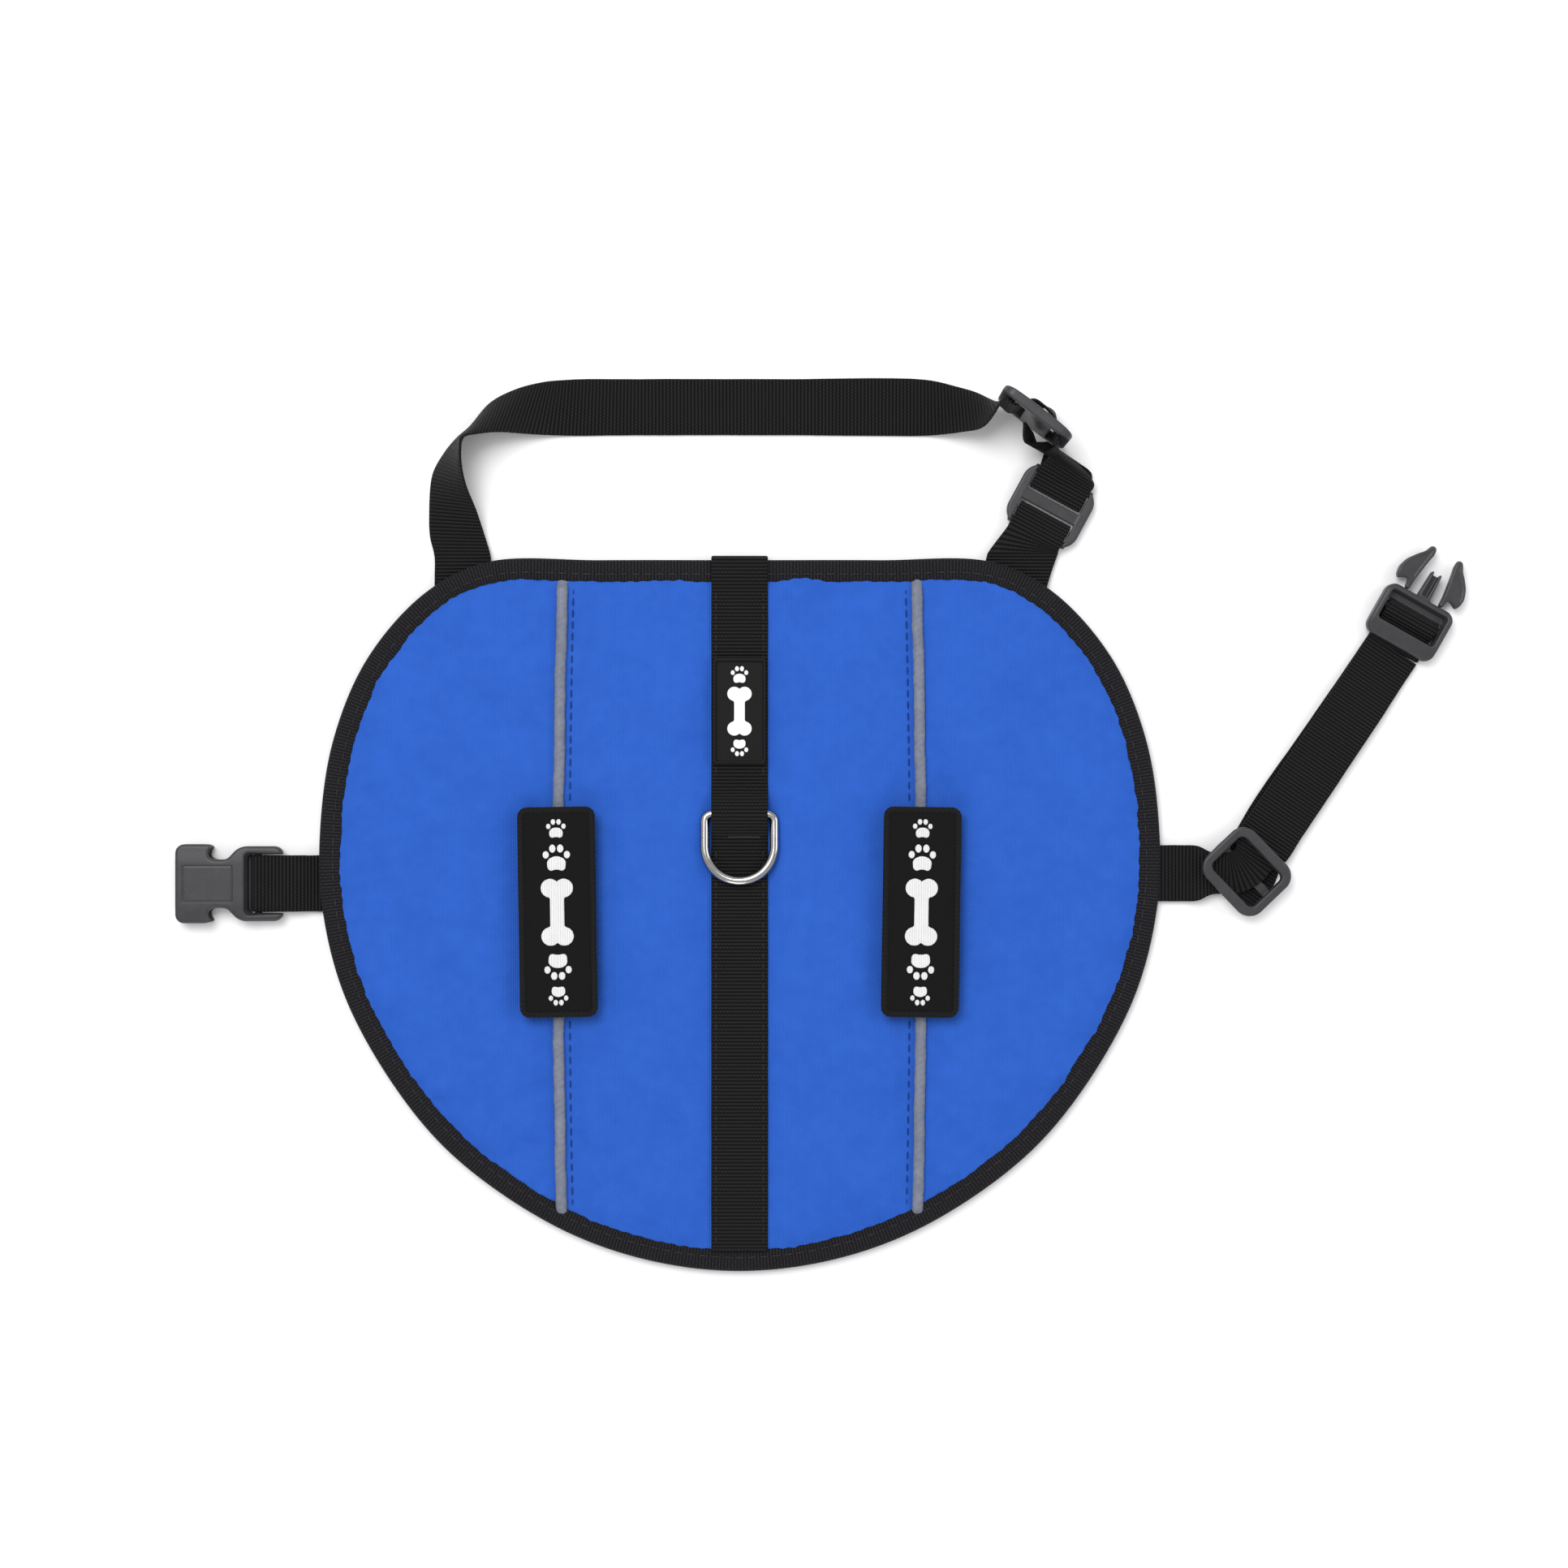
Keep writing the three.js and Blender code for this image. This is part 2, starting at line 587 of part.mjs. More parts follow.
const CORNER_X = SIDE_LINE_X + STUB_LENGTH;          // where stub and long run meet
const SLIDE_MID = 4.4;                               // long run's height through the slider
const RETURN_MID = WEB_FLAT;
const PLUG_MID = RETURN_MID + WEB + GAP;             // long run's height at the plug
const CORNER_R = 14;                                 // bend of the webbing in the slider
const PINCH = 0.74;                                  // webbing gathers this much there
const HEADING = THREE.MathUtils.degToRad(GIRTH_ANGLE);
const alongRun = (s, t = 0) => new THREE.Vector2(
  CORNER_X + s * Math.cos(HEADING) - t * Math.sin(HEADING),
  GIRTH_Y + s * Math.sin(HEADING) + t * Math.cos(HEADING));

// Top layer: from the panel to the slider, round the corner there, and up to the plug.
function girthStrap() {
  const reach = CORNER_R * Math.tan(HEADING / 2);
  const rows = [];
  const add = (x, y, z, turn, share = 1) => {
    const half = new THREE.Vector3(-Math.sin(turn), Math.cos(turn), 0)
      .multiplyScalar(HALF_WEB * share);
    const mid = new THREE.Vector3(x, y, z);
    rows.push([mid.clone().sub(half), mid.clone().add(half)]);
  };
  const start = SIDE_LINE_X + GAP / 2;
  const bendX = CORNER_X - reach;
  for (const [share, z, width] of [[0, TAIL_MID, 1], [0.3, TAIL_MID, 1], [0.58, SLIDE_MID, 0.97],
    [0.74, SLIDE_MID, PINCH]]) {
    add(start + share * (bendX - start), GIRTH_Y, z, 0, width);
  }
  for (let i = 0; i <= 6; i++) {
    const turn = (i / 6) * HEADING;
    add(bendX + CORNER_R * Math.sin(turn), GIRTH_Y + CORNER_R * (1 - Math.cos(turn)),
      SLIDE_MID, turn, PINCH);
  }
  const run = GIRTH_RUN - 1;
  for (const [s, z] of [[reach + 6, SLIDE_MID], [70, SLIDE_MID], [90, SLIDE_MID],
    [run - 8, PLUG_MID], [run, PLUG_MID]]) {
    const p = alongRun(s);
    add(p.x, p.y, z, HEADING);
  }
  return clothSolid(rows, WEB);
}

// Bottom layer: the webbing coming back from the plug, a little askew.
function girthReturn() {
  const rows = [[10, 1.8], [45, 1], [GIRTH_RUN - 1, 0]].map(([s, t]) => [-1, 1].map((side) => {
    const p = alongRun(s, t + side * HALF_WEB);
    return new THREE.Vector3(p.x, p.y, RETURN_MID);
  }));
  return clothSolid(rows, WEB);
}

function girthSlider() {
  const bar = 5.4;
  const frameLow = SLIDE_MID + WEB / 2 + GAP;
  const low = RETURN_MID + WEB / 2 + GAP;
  const frameMid = frameLow + SLIDER_THICK / 2;
  const end = SLIDER_LENGTH / 2 - bar;
  const frame = framePlate(SLIDER_LENGTH, [[-end, end]], SLIDER_THICK).translate(0, 0, frameMid);
  const [inner, outer] = [WINDOW / 2, SLIDER_WIDTH / 2 - 0.4];
  const posts = [-1, 1].map((side) => block(-2, Math.min(side * inner, side * outer), low, 2,
    Math.max(side * inner, side * outer), frameMid));
  const centre = block(-2, -outer, low, 2, outer, SLIDE_MID - WEB / 2 - GAP);
  return join(frame, ...posts, centre);
}

function addGirthBelt() {
  place('girth_strap', girthStrap(), BLACK_WEB());
  place('girth_return', girthReturn(), BLACK_WEB());
  const spot = alongRun(1);
  const group = framed(spot.x, spot.y, 0, GIRTH_ANGLE - 12.5);
  place('girth_slider', girthSlider(), DARK_PLASTIC(), group);
}

// Plug half.  X runs from the frame's rear edge to the latch tips.
const PLUG_LOW = 0.8;
const PLUG_HIGH = 8.3;
const PLUG_BAR_X = 15;
const LATCH_LOW = 2.7;
const LATCH_HIGH = 7.1;
const LATCH_Y = 8.6;             // where a latch arm leaves the frame

function plugFrame() {
  const w = BUCKLE_WIDTH / 2;
  const win = WINDOW / 2;
  const overWeb = PLUG_MID + WEB / 2 + GAP;
  const body = slab(roundedRect(0, -w, PLUG_LENGTH, w, 4.2), PLUG_LOW, PLUG_HIGH, 4);
  const window = block(8.2, -win, -5, 22, win, 20);
  const under = block(-5, -win, -5, 9, win, overWeb);
  const bar = rodY(PLUG_BAR_X, LOOP_Z, BAR_R, -win - 1, win + 1, 12);
  const prong = cut(block(PLUG_LENGTH - 1, -3, LATCH_LOW, PLUG_LENGTH + 12.5, 3, LATCH_HIGH),
    block(PLUG_LENGTH + 1, -1.3, LATCH_LOW + 1.6, PLUG_LENGTH + 20, 1.3, 20));
  return join(cut(body, window, under), bar, prong);
}

// the webbing inside the plug: under the rear bar, over the inner bar and back
function plugLoop() {
  const path = new THREE.Path();
  path.moveTo(-0.3, PLUG_MID);
  path.lineTo(8.6, PLUG_MID);
  path.bezierCurveTo(11, PLUG_MID, 11.5, LOOP_TOP, 14.4, LOOP_TOP);
  path.lineTo(PLUG_BAR_X, LOOP_TOP);
  path.absarc(PLUG_BAR_X, LOOP_Z, LOOP_R, Math.PI / 2, -Math.PI / 2, true);
  path.lineTo(-0.3, RETURN_MID);
  return webbingRun(path);
}

// one sprung latch arm: a thin leaf, a hooked head and a round tip
function latchArm(side) {
  const outline = new THREE.Shape();
  const x0 = PLUG_LENGTH + GAP;
  const points = [
    [x0, 7.5], [x0, 9.7], [29.6, 10.2], [29, 12.2], [27.8, 14.6], [29.3, 15.8], [33, 16.3],
    [37.6, 14.6], [42, 11.2], [44, 9], [46.3, 8.2], [47.2, 6.8], [46.2, 5.3], [44, 5.2],
    [40, 6.1], [34, 7], [29.5, 7.6],
  ];
  outline.setFromPoints(points.map(([x, y]) => new THREE.Vector2(x, side * y)));
  return slab(outline, LATCH_LOW, LATCH_HIGH);
}

function addPlug() {
  const start = alongRun(GIRTH_RUN);
  const group = framed(start.x, start.y, 0, PLUG_ANGLE);
  const inner = framed(0.9, 0, 0, 0, group);
  place('plug_frame', plugFrame(), DARK_PLASTIC(), inner);
  place('plug_strap_loop', plugLoop(), BLACK_WEB(), inner);
  place('latch_left', latchArm(1), DARK_PLASTIC(), inner);
  place('latch_right', latchArm(-1), DARK_PLASTIC(), inner);
}

// ---------------------------------------------------------------- the neck loop

const TOP_Y = NECK_LINE_Y + NECK_REACH;              // centre line of the top run
const STAND = (SLIDER_WIDTH - WEB_WIDTH) / 2 + GAP;   // low edge of webbing in the slider
const NECK_SLIDER = { x: 131.8, y: TOP_Y - 6.7, turn: -37.7, length: 36 };
const RING_BAR = SLIDER_LENGTH / 2 - BAR_R - 0.6;     // from the ring's middle to an end bar
const NECK_RING = { x: 140.2, y: NECK_LINE_Y + 22.8, turn: 61.5 };
const REST = 0.8;                                    // lowest that an edge of webbing lies
const NECK_STEPS = 4;                                // steps from one edge point to the next
const LOOP_STEPS = 8;                                // steps round a bar

// a point given in the slider's own frame: u along the webbing, n to its outer side
function bySlider(u, n, z) {
  const turn = THREE.MathUtils.degToRad(NECK_SLIDER.turn);
  return new THREE.Vector3(
    NECK_SLIDER.x + u * Math.cos(turn) - n * Math.sin(turn),
    NECK_SLIDER.y + u * Math.sin(turn) + n * Math.cos(turn), z);
}

// a point given in the ring's own frame: a along its webbing, b across
function byRing(a, b, z) {
  const turn = THREE.MathUtils.degToRad(NECK_RING.turn);
  return new THREE.Vector3(
    NECK_RING.x + a * Math.cos(turn) - b * Math.sin(turn),
    NECK_RING.y + a * Math.sin(turn) + b * Math.cos(turn), z);
}

// The webbing's two edges, from the left root round the loop to the ring.  At each corner the
// webbing stands on its outer edge, because it can't bend in its own plane.
function neckEdges() {
  const at = (x, y, z) => new THREE.Vector3(x, y, z);
  const r = NECK_ROOT_X;
  const base = NECK_LINE_Y + GAP / 2;
  const low = WEB_FLAT;
  const outer = [
    at(-r - HALF_WEB, base, TAIL_MID), at(-r - 15, base + 10, 1.4), at(-r - 15.3, base + 22, low),
    at(-r - 13.6, base + 37.5, 0.8), at(-r - 8.3, base + 47, 0.8), at(-r - 2.3, base + 54, 0.8),
    at(-r + 3.4, TOP_Y - 8.7, 0.8), at(-r + 12.7, TOP_Y + 2.3, 0.8), at(-r + 23.7, TOP_Y + 8.2, 0.9),
    at(-r + 34.7, TOP_Y + 11.4, low), at(-r + 47, TOP_Y + HALF_WEB, low),
    at(-40, TOP_Y + HALF_WEB, low), at(20, TOP_Y + HALF_WEB, low), at(84, TOP_Y + HALF_WEB, low),
    at(98, TOP_Y + 9.6, 1.2), at(108, TOP_Y + 6.2, 2.5),
  ];
  const inner = [
    at(-r + HALF_WEB, base, TAIL_MID), at(-r + 10.2, base + 9, 3), at(-r + 7.4, base + 19, 8),
    at(-r + 3.2, base + 31.2, 19), at(-r + 1.8, base + 40, 23.5), at(-r + 1.7, base + 46, 25),
    at(-r + 2.4, base + 50.8, 25.4), at(-r + 9.2, TOP_Y - 14.1, 20), at(-r + 18, TOP_Y - 12.7, 14.4),
    at(-r + 28.3, TOP_Y - 12.7, 7.5), at(-r + 45, TOP_Y - HALF_WEB, 1.6),
    at(-40, TOP_Y - HALF_WEB, low), at(20, TOP_Y - HALF_WEB, low), at(84, TOP_Y - HALF_WEB, 1.2),
    at(99, TOP_Y - 12.1, 8), at(109, TOP_Y - 10.6, 16),
  ];
  const stand = (list, z) => {
    for (const [u, n] of [[-15, -3], [-10.5, -2.9], [-4.6, 3.9], [0, 4.3], [4.6, 3.9],
      [10.5, -2.9], [16, -3]]) {
      list.push(bySlider(u, n, z));
    }
  };
  stand(outer, STAND);
  stand(inner, STAND + WEB_WIDTH);
  outer.push(at(152.2, NECK_RING.y + 18.8, 4.6), byRing(RING_BAR + 5, -HALF_WEB, 5.4));
  inner.push(at(139.4, NECK_RING.y + 22.4, 23), byRing(RING_BAR + 5.5, HALF_WEB - 1, 13));
  outer.push(byRing(RING_BAR, -HALF_WEB, LOOP_TOP));
  inner.push(byRing(RING_BAR, HALF_WEB, LOOP_TOP));
  return [outer, inner];
}

function neckStrap() {
  const [outer, inner] = neckEdges();
  const steps = NECK_STEPS * (outer.length - 1);
  const pick = (list) => {
    const curve = new THREE.CatmullRomCurve3(list, false, 'centripetal');
    const points = Array.from({ length: steps + 1 }, (_, i) => curve.getPoint(i / steps));
    points.forEach((p) => p.setZ(Math.max(p.z, REST)));
    return points;
  };
  const [left, right] = [pick(outer), pick(inner)];
  for (let i = 1; i <= LOOP_STEPS; i++) {
    const turn = (Math.PI * i) / LOOP_STEPS;
    const a = RING_BAR - LOOP_R * Math.sin(turn);
    const z = LOOP_Z + LOOP_R * Math.cos(turn);
    left.push(byRing(a, -HALF_WEB, z));
    right.push(byRing(a, HALF_WEB, z));
  }
  left.push(byRing(RING_BAR + 4, 1 - HALF_WEB, WEB_FLAT));
  right.push(byRing(RING_BAR + 6, HALF_WEB + 1, WEB_FLAT));
  left.push(byRing(RING_BAR + 6, 2.5 - HALF_WEB, WEB_FLAT));
  right.push(byRing(RING_BAR + 12, HALF_WEB + 2.5, WEB_FLAT));
  return clothSolid(ruled(left, right, 4), WEB);
}

function neckAnchor() {
  const base = NECK_LINE_Y + GAP;
  const rootEdge = (side) => [0, 1.2].map((up) => (
    new THREE.Vector3(NECK_ROOT_X + side * HALF_WEB, base + up, TAIL_MID)));
  const [left, right] = [rootEdge(-1), rootEdge(1)];
  left.push(byRing(-RING_BAR - 3.4, HALF_WEB, LOOP_TOP - 0.6));
  right.push(byRing(-RING_BAR - 2.6, -HALF_WEB, LOOP_TOP - 0.6));
  left.push(byRing(-RING_BAR, HALF_WEB, LOOP_TOP));
  right.push(byRing(-RING_BAR, -HALF_WEB, LOOP_TOP));
  for (let i = 1; i <= LOOP_STEPS; i++) {
    const turn = (Math.PI * i) / LOOP_STEPS;
    const a = -RING_BAR + LOOP_R * Math.sin(turn);
    const z = LOOP_Z + LOOP_R * Math.cos(turn);
    left.push(byRing(a, HALF_WEB, z));
    right.push(byRing(a, -HALF_WEB, z));
  }
  left.push(byRing(-RING_BAR - 4, HALF_WEB, WEB_FLAT));
  right.push(byRing(-RING_BAR - 1.5, -HALF_WEB, WEB_FLAT));
  return clothSolid(ruled(left, right, 2), WEB);
}

// the ring: round end bars that the webbing wraps, flat rails and a flat centre bar
function neckRing() {
  const [l, w, win] = [SLIDER_LENGTH / 2, SLIDER_WIDTH / 2, WINDOW / 2];
  const plate = slab(roundedRect(-l, -w, l, w, 8), -BAR_R, BAR_R, 4);
  const rails = cut(plate, block(-l - 1, -win, -5, l + 1, win, 5));
  const ends = [-1, 1].map((side) => rodY(side * RING_BAR, 0, BAR_R, -win - 1, win + 1, 12));
  const centre = block(-2.2, -win - 1, -BAR_R + 0.3, 2.2, win + 1, BAR_R - 0.3);
  return join(rails, ...ends, centre);
}

// the slider stands on one rail, its bars upright
function neckSlider() {
  const length = NECK_SLIDER.length;
  const [centre, end] = [2, length / 2 - 4.4];
  return framePlate(length, [[-end, -centre], [centre, end]], SLIDER_THICK).rotateX(Math.PI / 2)
    .translate(0, 0, STAND + HALF_WEB);
}

function addNeckLoop() {
  place('neck_strap', neckStrap(), BLACK_WEB());
  place('neck_anchor', neckAnchor(), BLACK_WEB());
  const ring = framed(NECK_RING.x, NECK_RING.y, LOOP_Z, NECK_RING.turn);
  place('neck_ring', neckRing(), DARK_PLASTIC(), ring);
  const slider = framed(NECK_SLIDER.x, NECK_SLIDER.y, 0, NECK_SLIDER.turn);
  place('neck_slider', neckSlider(), paint(0x59595c, 0.4), slider);
}

// ---------------------------------------------------------------- assembly

addPanel();
addSpine();
addLeadRing();
addPatch(-1, 'left');
addPatch(1, 'right');
addTab();
addSocket();
addGirthBelt();
addPlug();
addNeckLoop();

export default root;
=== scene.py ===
# %% [markdown]
# # A dog support vest, laid flat
# The vest is a padded back panel with bound edges.  A neck loop, a girth belt with a side-release
# buckle, a lead ring and two hook-and-loop patches are fixed to it.  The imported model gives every
# piece its place.  These cells build the surfaces that show, one kind of piece at a time.

# %% Load the frame
import math

import bpy
import numpy as np
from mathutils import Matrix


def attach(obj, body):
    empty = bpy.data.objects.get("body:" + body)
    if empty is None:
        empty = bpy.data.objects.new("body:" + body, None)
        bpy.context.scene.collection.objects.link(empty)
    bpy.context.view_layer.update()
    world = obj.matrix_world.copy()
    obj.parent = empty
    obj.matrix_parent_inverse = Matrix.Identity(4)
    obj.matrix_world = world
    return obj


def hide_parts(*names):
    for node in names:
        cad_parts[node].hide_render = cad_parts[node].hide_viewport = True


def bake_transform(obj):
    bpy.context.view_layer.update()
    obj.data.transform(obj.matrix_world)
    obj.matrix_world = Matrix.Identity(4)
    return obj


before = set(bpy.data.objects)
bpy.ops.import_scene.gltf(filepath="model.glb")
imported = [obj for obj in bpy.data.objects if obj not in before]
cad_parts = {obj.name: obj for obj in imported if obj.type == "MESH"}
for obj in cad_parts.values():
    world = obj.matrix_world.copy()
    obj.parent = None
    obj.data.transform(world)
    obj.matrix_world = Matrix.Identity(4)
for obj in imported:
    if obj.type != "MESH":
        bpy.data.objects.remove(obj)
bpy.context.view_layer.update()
MM = 0.001          # sizes below are in millimetres, and Blender's are in metres
print("nodes in the frame:", len(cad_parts))

# %% [markdown]
# ## View, floor and light
# The vest lies on a white table and is seen from straight above.  A long lens from about a metre
# keeps the near and far surfaces at nearly one scale.  One wide lamp and two side lamps give the
# soft shadows of a light tent.

# %% Camera
VIEW_CENTRE = (20.0, 59.4)
VIEW_HEIGHT = 1150.0
VIEW_WIDTH = 710.0
SENSOR = 36.0

camera_data = bpy.data.cameras.new("camera")
camera_data.sensor_width = SENSOR
camera_data.lens = SENSOR * VIEW_HEIGHT / VIEW_WIDTH
camera_data.clip_end = 20
camera = bpy.data.objects.new("camera", camera_data)
camera.location = (VIEW_CENTRE[0] * MM, VIEW_CENTRE[1] * MM, VIEW_HEIGHT * MM)
bpy.context.scene.collection.objects.link(camera)
bpy.context.scene.camera = camera
print("lens", round(camera_data.lens, 1), "mm")


# %% Floor
def new_material(name, colour, rough, metal=0.0):
    """A material and its Principled BSDF, with an even colour to start from."""
    material = bpy.data.materials.new(name)
    material.use_nodes = True
    shader = material.node_tree.nodes["Principled BSDF"]
    shader.inputs["Base Color"].default_value = (*colour, 1)
    shader.inputs["Roughness"].default_value = rough
    shader.inputs["Metallic"].default_value = metal
    return material, shader


FLOOR_SIZE = 6.0
FLOOR_DROP = 0.15 * MM
floor_mesh = bpy.data.meshes.new("floor")
half = FLOOR_SIZE / 2
square = ((-half, -half), (half, -half), (half, half), (-half, half))
floor_mesh.from_pydata([(x, y, -FLOOR_DROP) for x, y in square], [], [(0, 1, 2, 3)])
floor = bpy.data.objects.new("floor", floor_mesh)
floor_mesh.materials.append(new_material("floor_white", (0.92, 0.92, 0.93), 0.9)[0])
bpy.context.scene.collection.objects.link(floor)
print("floor", FLOOR_SIZE, "m across")


# %% Lights
LAMP_AIM = (0.02, 0.05, 0.0)
SKY_STRENGTH = 0.62


def area_light(name, place, size, watts):
    """A square lamp at a place in metres, turned to face LAMP_AIM."""
    lamp = bpy.data.lights.new(name, "AREA")
    lamp.size = size
    lamp.energy = watts
    holder = bpy.data.objects.new(name, lamp)
    holder.location = place
    away = np.array(place) - np.array(LAMP_AIM)
    flat = math.hypot(away[0], away[1])
    holder.rotation_euler = (math.atan2(flat, away[2]), 0, math.atan2(away[0], -away[1]))
    bpy.context.scene.collection.objects.link(holder)


area_light("lamp_above", (-0.5, 0.9, 1.9), 1.2, 30)
area_light("lamp_side", (1.7, 0.4, 1.2), 1.0, 7)
area_light("lamp_front", (-0.2, -1.8, 1.1), 1.0, 7)
world = bpy.data.worlds.new("world")
bpy.context.scene.world = world
world.use_nodes = True
sky = world.node_tree.nodes["Background"].inputs
sky["Color"].default_value = (1, 1, 1, 1)
sky["Strength"].default_value = SKY_STRENGTH
bpy.context.scene.view_settings.view_transform = "Standard"

# %% [markdown]
# ## From arrays to meshes
# Every surface below is a grid of points worked out by numpy.  Three helpers turn grids into
# closed meshes: one places arrays in a mesh, one joins the points of a grid by quads, and one
# carries a closed section along a path.


# %% Place arrays in a mesh
def piece(name, points, faces, material, uv=None):
    """A mesh object from points in millimetres and a list of face arrays, one row a face."""
    mesh = bpy.data.meshes.new(name)
    mesh.vertices.add(len(points))
    mesh.vertices.foreach_set("co", (np.asarray(points) * MM).astype(np.float32).ravel())
    corners = np.concatenate([f.ravel() for f in faces]).astype(np.int32)
    counts = np.concatenate([np.full(len(f), f.shape[1]) for f in faces])
    mesh.loops.add(len(corners))
    mesh.loops.foreach_set("vertex_index", corners)
    mesh.polygons.add(len(counts))
    starts = np.concatenate([[0], np.cumsum(counts)[:-1]]).astype(np.int32)
    mesh.polygons.foreach_set("loop_start", starts)
    mesh.polygons.foreach_set("use_smooth", np.ones(len(counts), bool))
    mesh.update(calc_edges=True)
    if uv is not None:
        layer = mesh.uv_layers.new(name="surface")
        layer.data.foreach_set("uv", (uv * MM).astype(np.float32).ravel())
    mesh.materials.append(material)
    thing = bpy.data.objects.new(name, mesh)
    bpy.context.scene.collection.objects.link(thing)
    return thing


def seat(thing, body, slot, *nodes):
    """The piece moves with a body and stands for these CAD nodes; slot is not used."""
    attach(thing, body)
    if nodes:
        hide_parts(*nodes)
    return thing


def quads(rows, columns, round_rows=False, round_columns=False):
    """Corner numbers of a grid's quads.  A round grid also joins its last line to its first."""
    i = np.arange(rows if round_rows else rows - 1)[:, None]
    j = np.arange(columns if round_columns else columns - 1)[None, :]
    i2, j2 = (i + 1) % rows, (j + 1) % columns
    cells = [i * columns + j, i2 * columns + j, i2 * columns + j2, i * columns + j2]
    return np.stack(np.broadcast_arrays(*cells), -1).reshape(-1, 4)


# %% Carry a section along a path
def unit(v):
    """Vectors divided by their lengths."""
    return v / np.maximum(np.linalg.norm(v, axis=-1, keepdims=True), 1e-12)


def lengths(path):
    """Distance along a path at each of its points, from 0."""
    steps = np.linalg.norm(np.diff(path, axis=0), axis=1)
    return np.concatenate([[0], np.cumsum(steps)])


def closed_up(line):
    """A closed line with its first point put again at its end."""
    return np.concatenate([line, line[:1]])


def ahead_round(line):
    """Directions along a closed line at each of its points."""
    return unit(np.roll(line, -1, 0) - np.roll(line, 1, 0))


def upright(path):
    """The upward direction, once for each point of a path."""
    return np.broadcast_to([0.0, 0.0, 1.0], (len(path), 3))


def settle(path, height):
    """The path with a height added to each of its points."""
    return np.column_stack([path, np.full(len(path), float(height))])


def rotated(points, degrees):
    """Points turned about the upward axis; what they have beyond x and y stays."""
    a = math.radians(degrees)
    points = np.asarray(points, float)
    x, y = points[:, 0], points[:, 1]
    return np.column_stack([x * math.cos(a) - y * math.sin(a), x * math.sin(a) + y * math.cos(a),
                            points[:, 2:]])


def heading(degrees):
    """The flat direction that points this way."""
    return np.array([math.cos(math.radians(degrees)), math.sin(math.radians(degrees))])


def carried(grid, along, around, closed):
    """Faces, and the surface coordinates of their corners, of a section carried along a path.

    grid[i, j] is point j of the section at station i.  along[i] and around[j] are distances in
    millimetres, with one more value than there are points where the direction closes.
    """
    rows, columns = grid.shape[:2]
    side = quads(rows, columns, round_rows=closed, round_columns=True)
    i, j = np.meshgrid(np.arange(rows if closed else rows - 1), np.arange(columns), indexing="ij")
    corner = [(i, j), (i + 1, j), (i + 1, j + 1), (i, j + 1)]
    uv = np.stack([np.stack([along[a], around[b]], -1) for a, b in corner], 2).reshape(-1, 2)
    faces = [side]
    if not closed:
        ring = np.arange(columns)
        faces.append(ring[None])
        faces.append((ring + (rows - 1) * columns)[::-1][None])
        ends = np.stack([np.full(columns, along[0]), around[:-1]], -1)
        uv = np.concatenate([uv, ends, ends[::-1] + [along[-1] - along[0], 0]])
    return faces, uv


def sweep(name, path, out, up, section, material, closed=False):
    """A closed section carried along a path.

    A point (a, b) of the section lies at path + a * out + b * up.  out, up and section may
    have a value for each station.
    """
    section = np.broadcast_to(section, (len(path),) + np.shape(section)[-2:])
    grid = path[:, None] + section[..., :1] * out[:, None] + section[..., 1:] * up[:, None]
    along = lengths(closed_up(path) if closed else path)
    around = lengths(closed_up(section[0]))
    faces, uv = carried(grid, along, around, closed)
    return piece(name, grid.reshape(-1, 3), faces, material, uv)


# %% Smooth curves through chosen points
def curve(points, per=8):
    """A smooth curve through points: cubic pieces whose slope at a point is that of the parabola
    through it and its two neighbours, measured on the square root of the distances."""
    p = np.asarray(points, float)
    step = np.maximum(np.linalg.norm(np.diff(p, axis=0), axis=1), 1e-9) ** 0.5
    secant = np.diff(p, axis=0) / step[:, None]
    inner = (secant[:-1] * step[1:, None] + secant[1:] * step[:-1, None]) \
        / (step[:-1] + step[1:])[:, None]
    slope = np.concatenate([secant[:1], inner, secant[-1:]])
    t = np.arange(per)[None, :, None] / per
    h = step[:, None, None]
    a, b = p[:-1, None], p[1:, None]
    made = (a * (1 + 2 * t) * (1 - t) ** 2 + b * t * t * (3 - 2 * t)
            + h * slope[:-1, None] * t * (1 - t) ** 2 - h * slope[1:, None] * t * t * (1 - t))
    return np.concatenate([made.reshape(-1, p.shape[1]), p[-1:]])


def evenly(path, step):
    """The same path with its points a step apart."""
    s = lengths(path)
    n = max(int(round(s[-1] / step)), 2)
    even = np.linspace(0, s[-1], n + 1)
    return np.stack([np.interp(even, s, path[:, k]) for k in range(path.shape[1])], -1)


def wobble(s, seed, scale):
    """A gentle random wave of height about 1: five sines of falling size with seeded phases."""
    draw = np.random.default_rng(seed).uniform(0, 2 * math.pi, 5)
    waves = [np.sin(s * 2 * math.pi * k / scale + draw[k - 1]) / k for k in (1, 2, 3, 4, 5)]
    return sum(waves) / 1.6


def bell(distance, middle, spread):
    """1 at the middle, falling smoothly to nothing on both sides over about twice the spread."""
    return np.exp(-((distance - middle) / spread) ** 2)


print("helpers ready")

# %% [markdown]
# ## Webbing
# Webbing is a flat woven ribbon with round selvedges.  Both of its edges are given as paths, so it
# can stand, lean and twist.  Its thickness lies along the normal of the surface between them.


# %% A ribbon between two edges
WEB = 1.4
WEB_WIDTH = 25.4
SELVEDGE = 5                     # points round each rounded edge
ACROSS = 9                       # points across each face
FRAY, FRAY_WAVE = 0.12, 37.0     # how much the width varies, and over what length


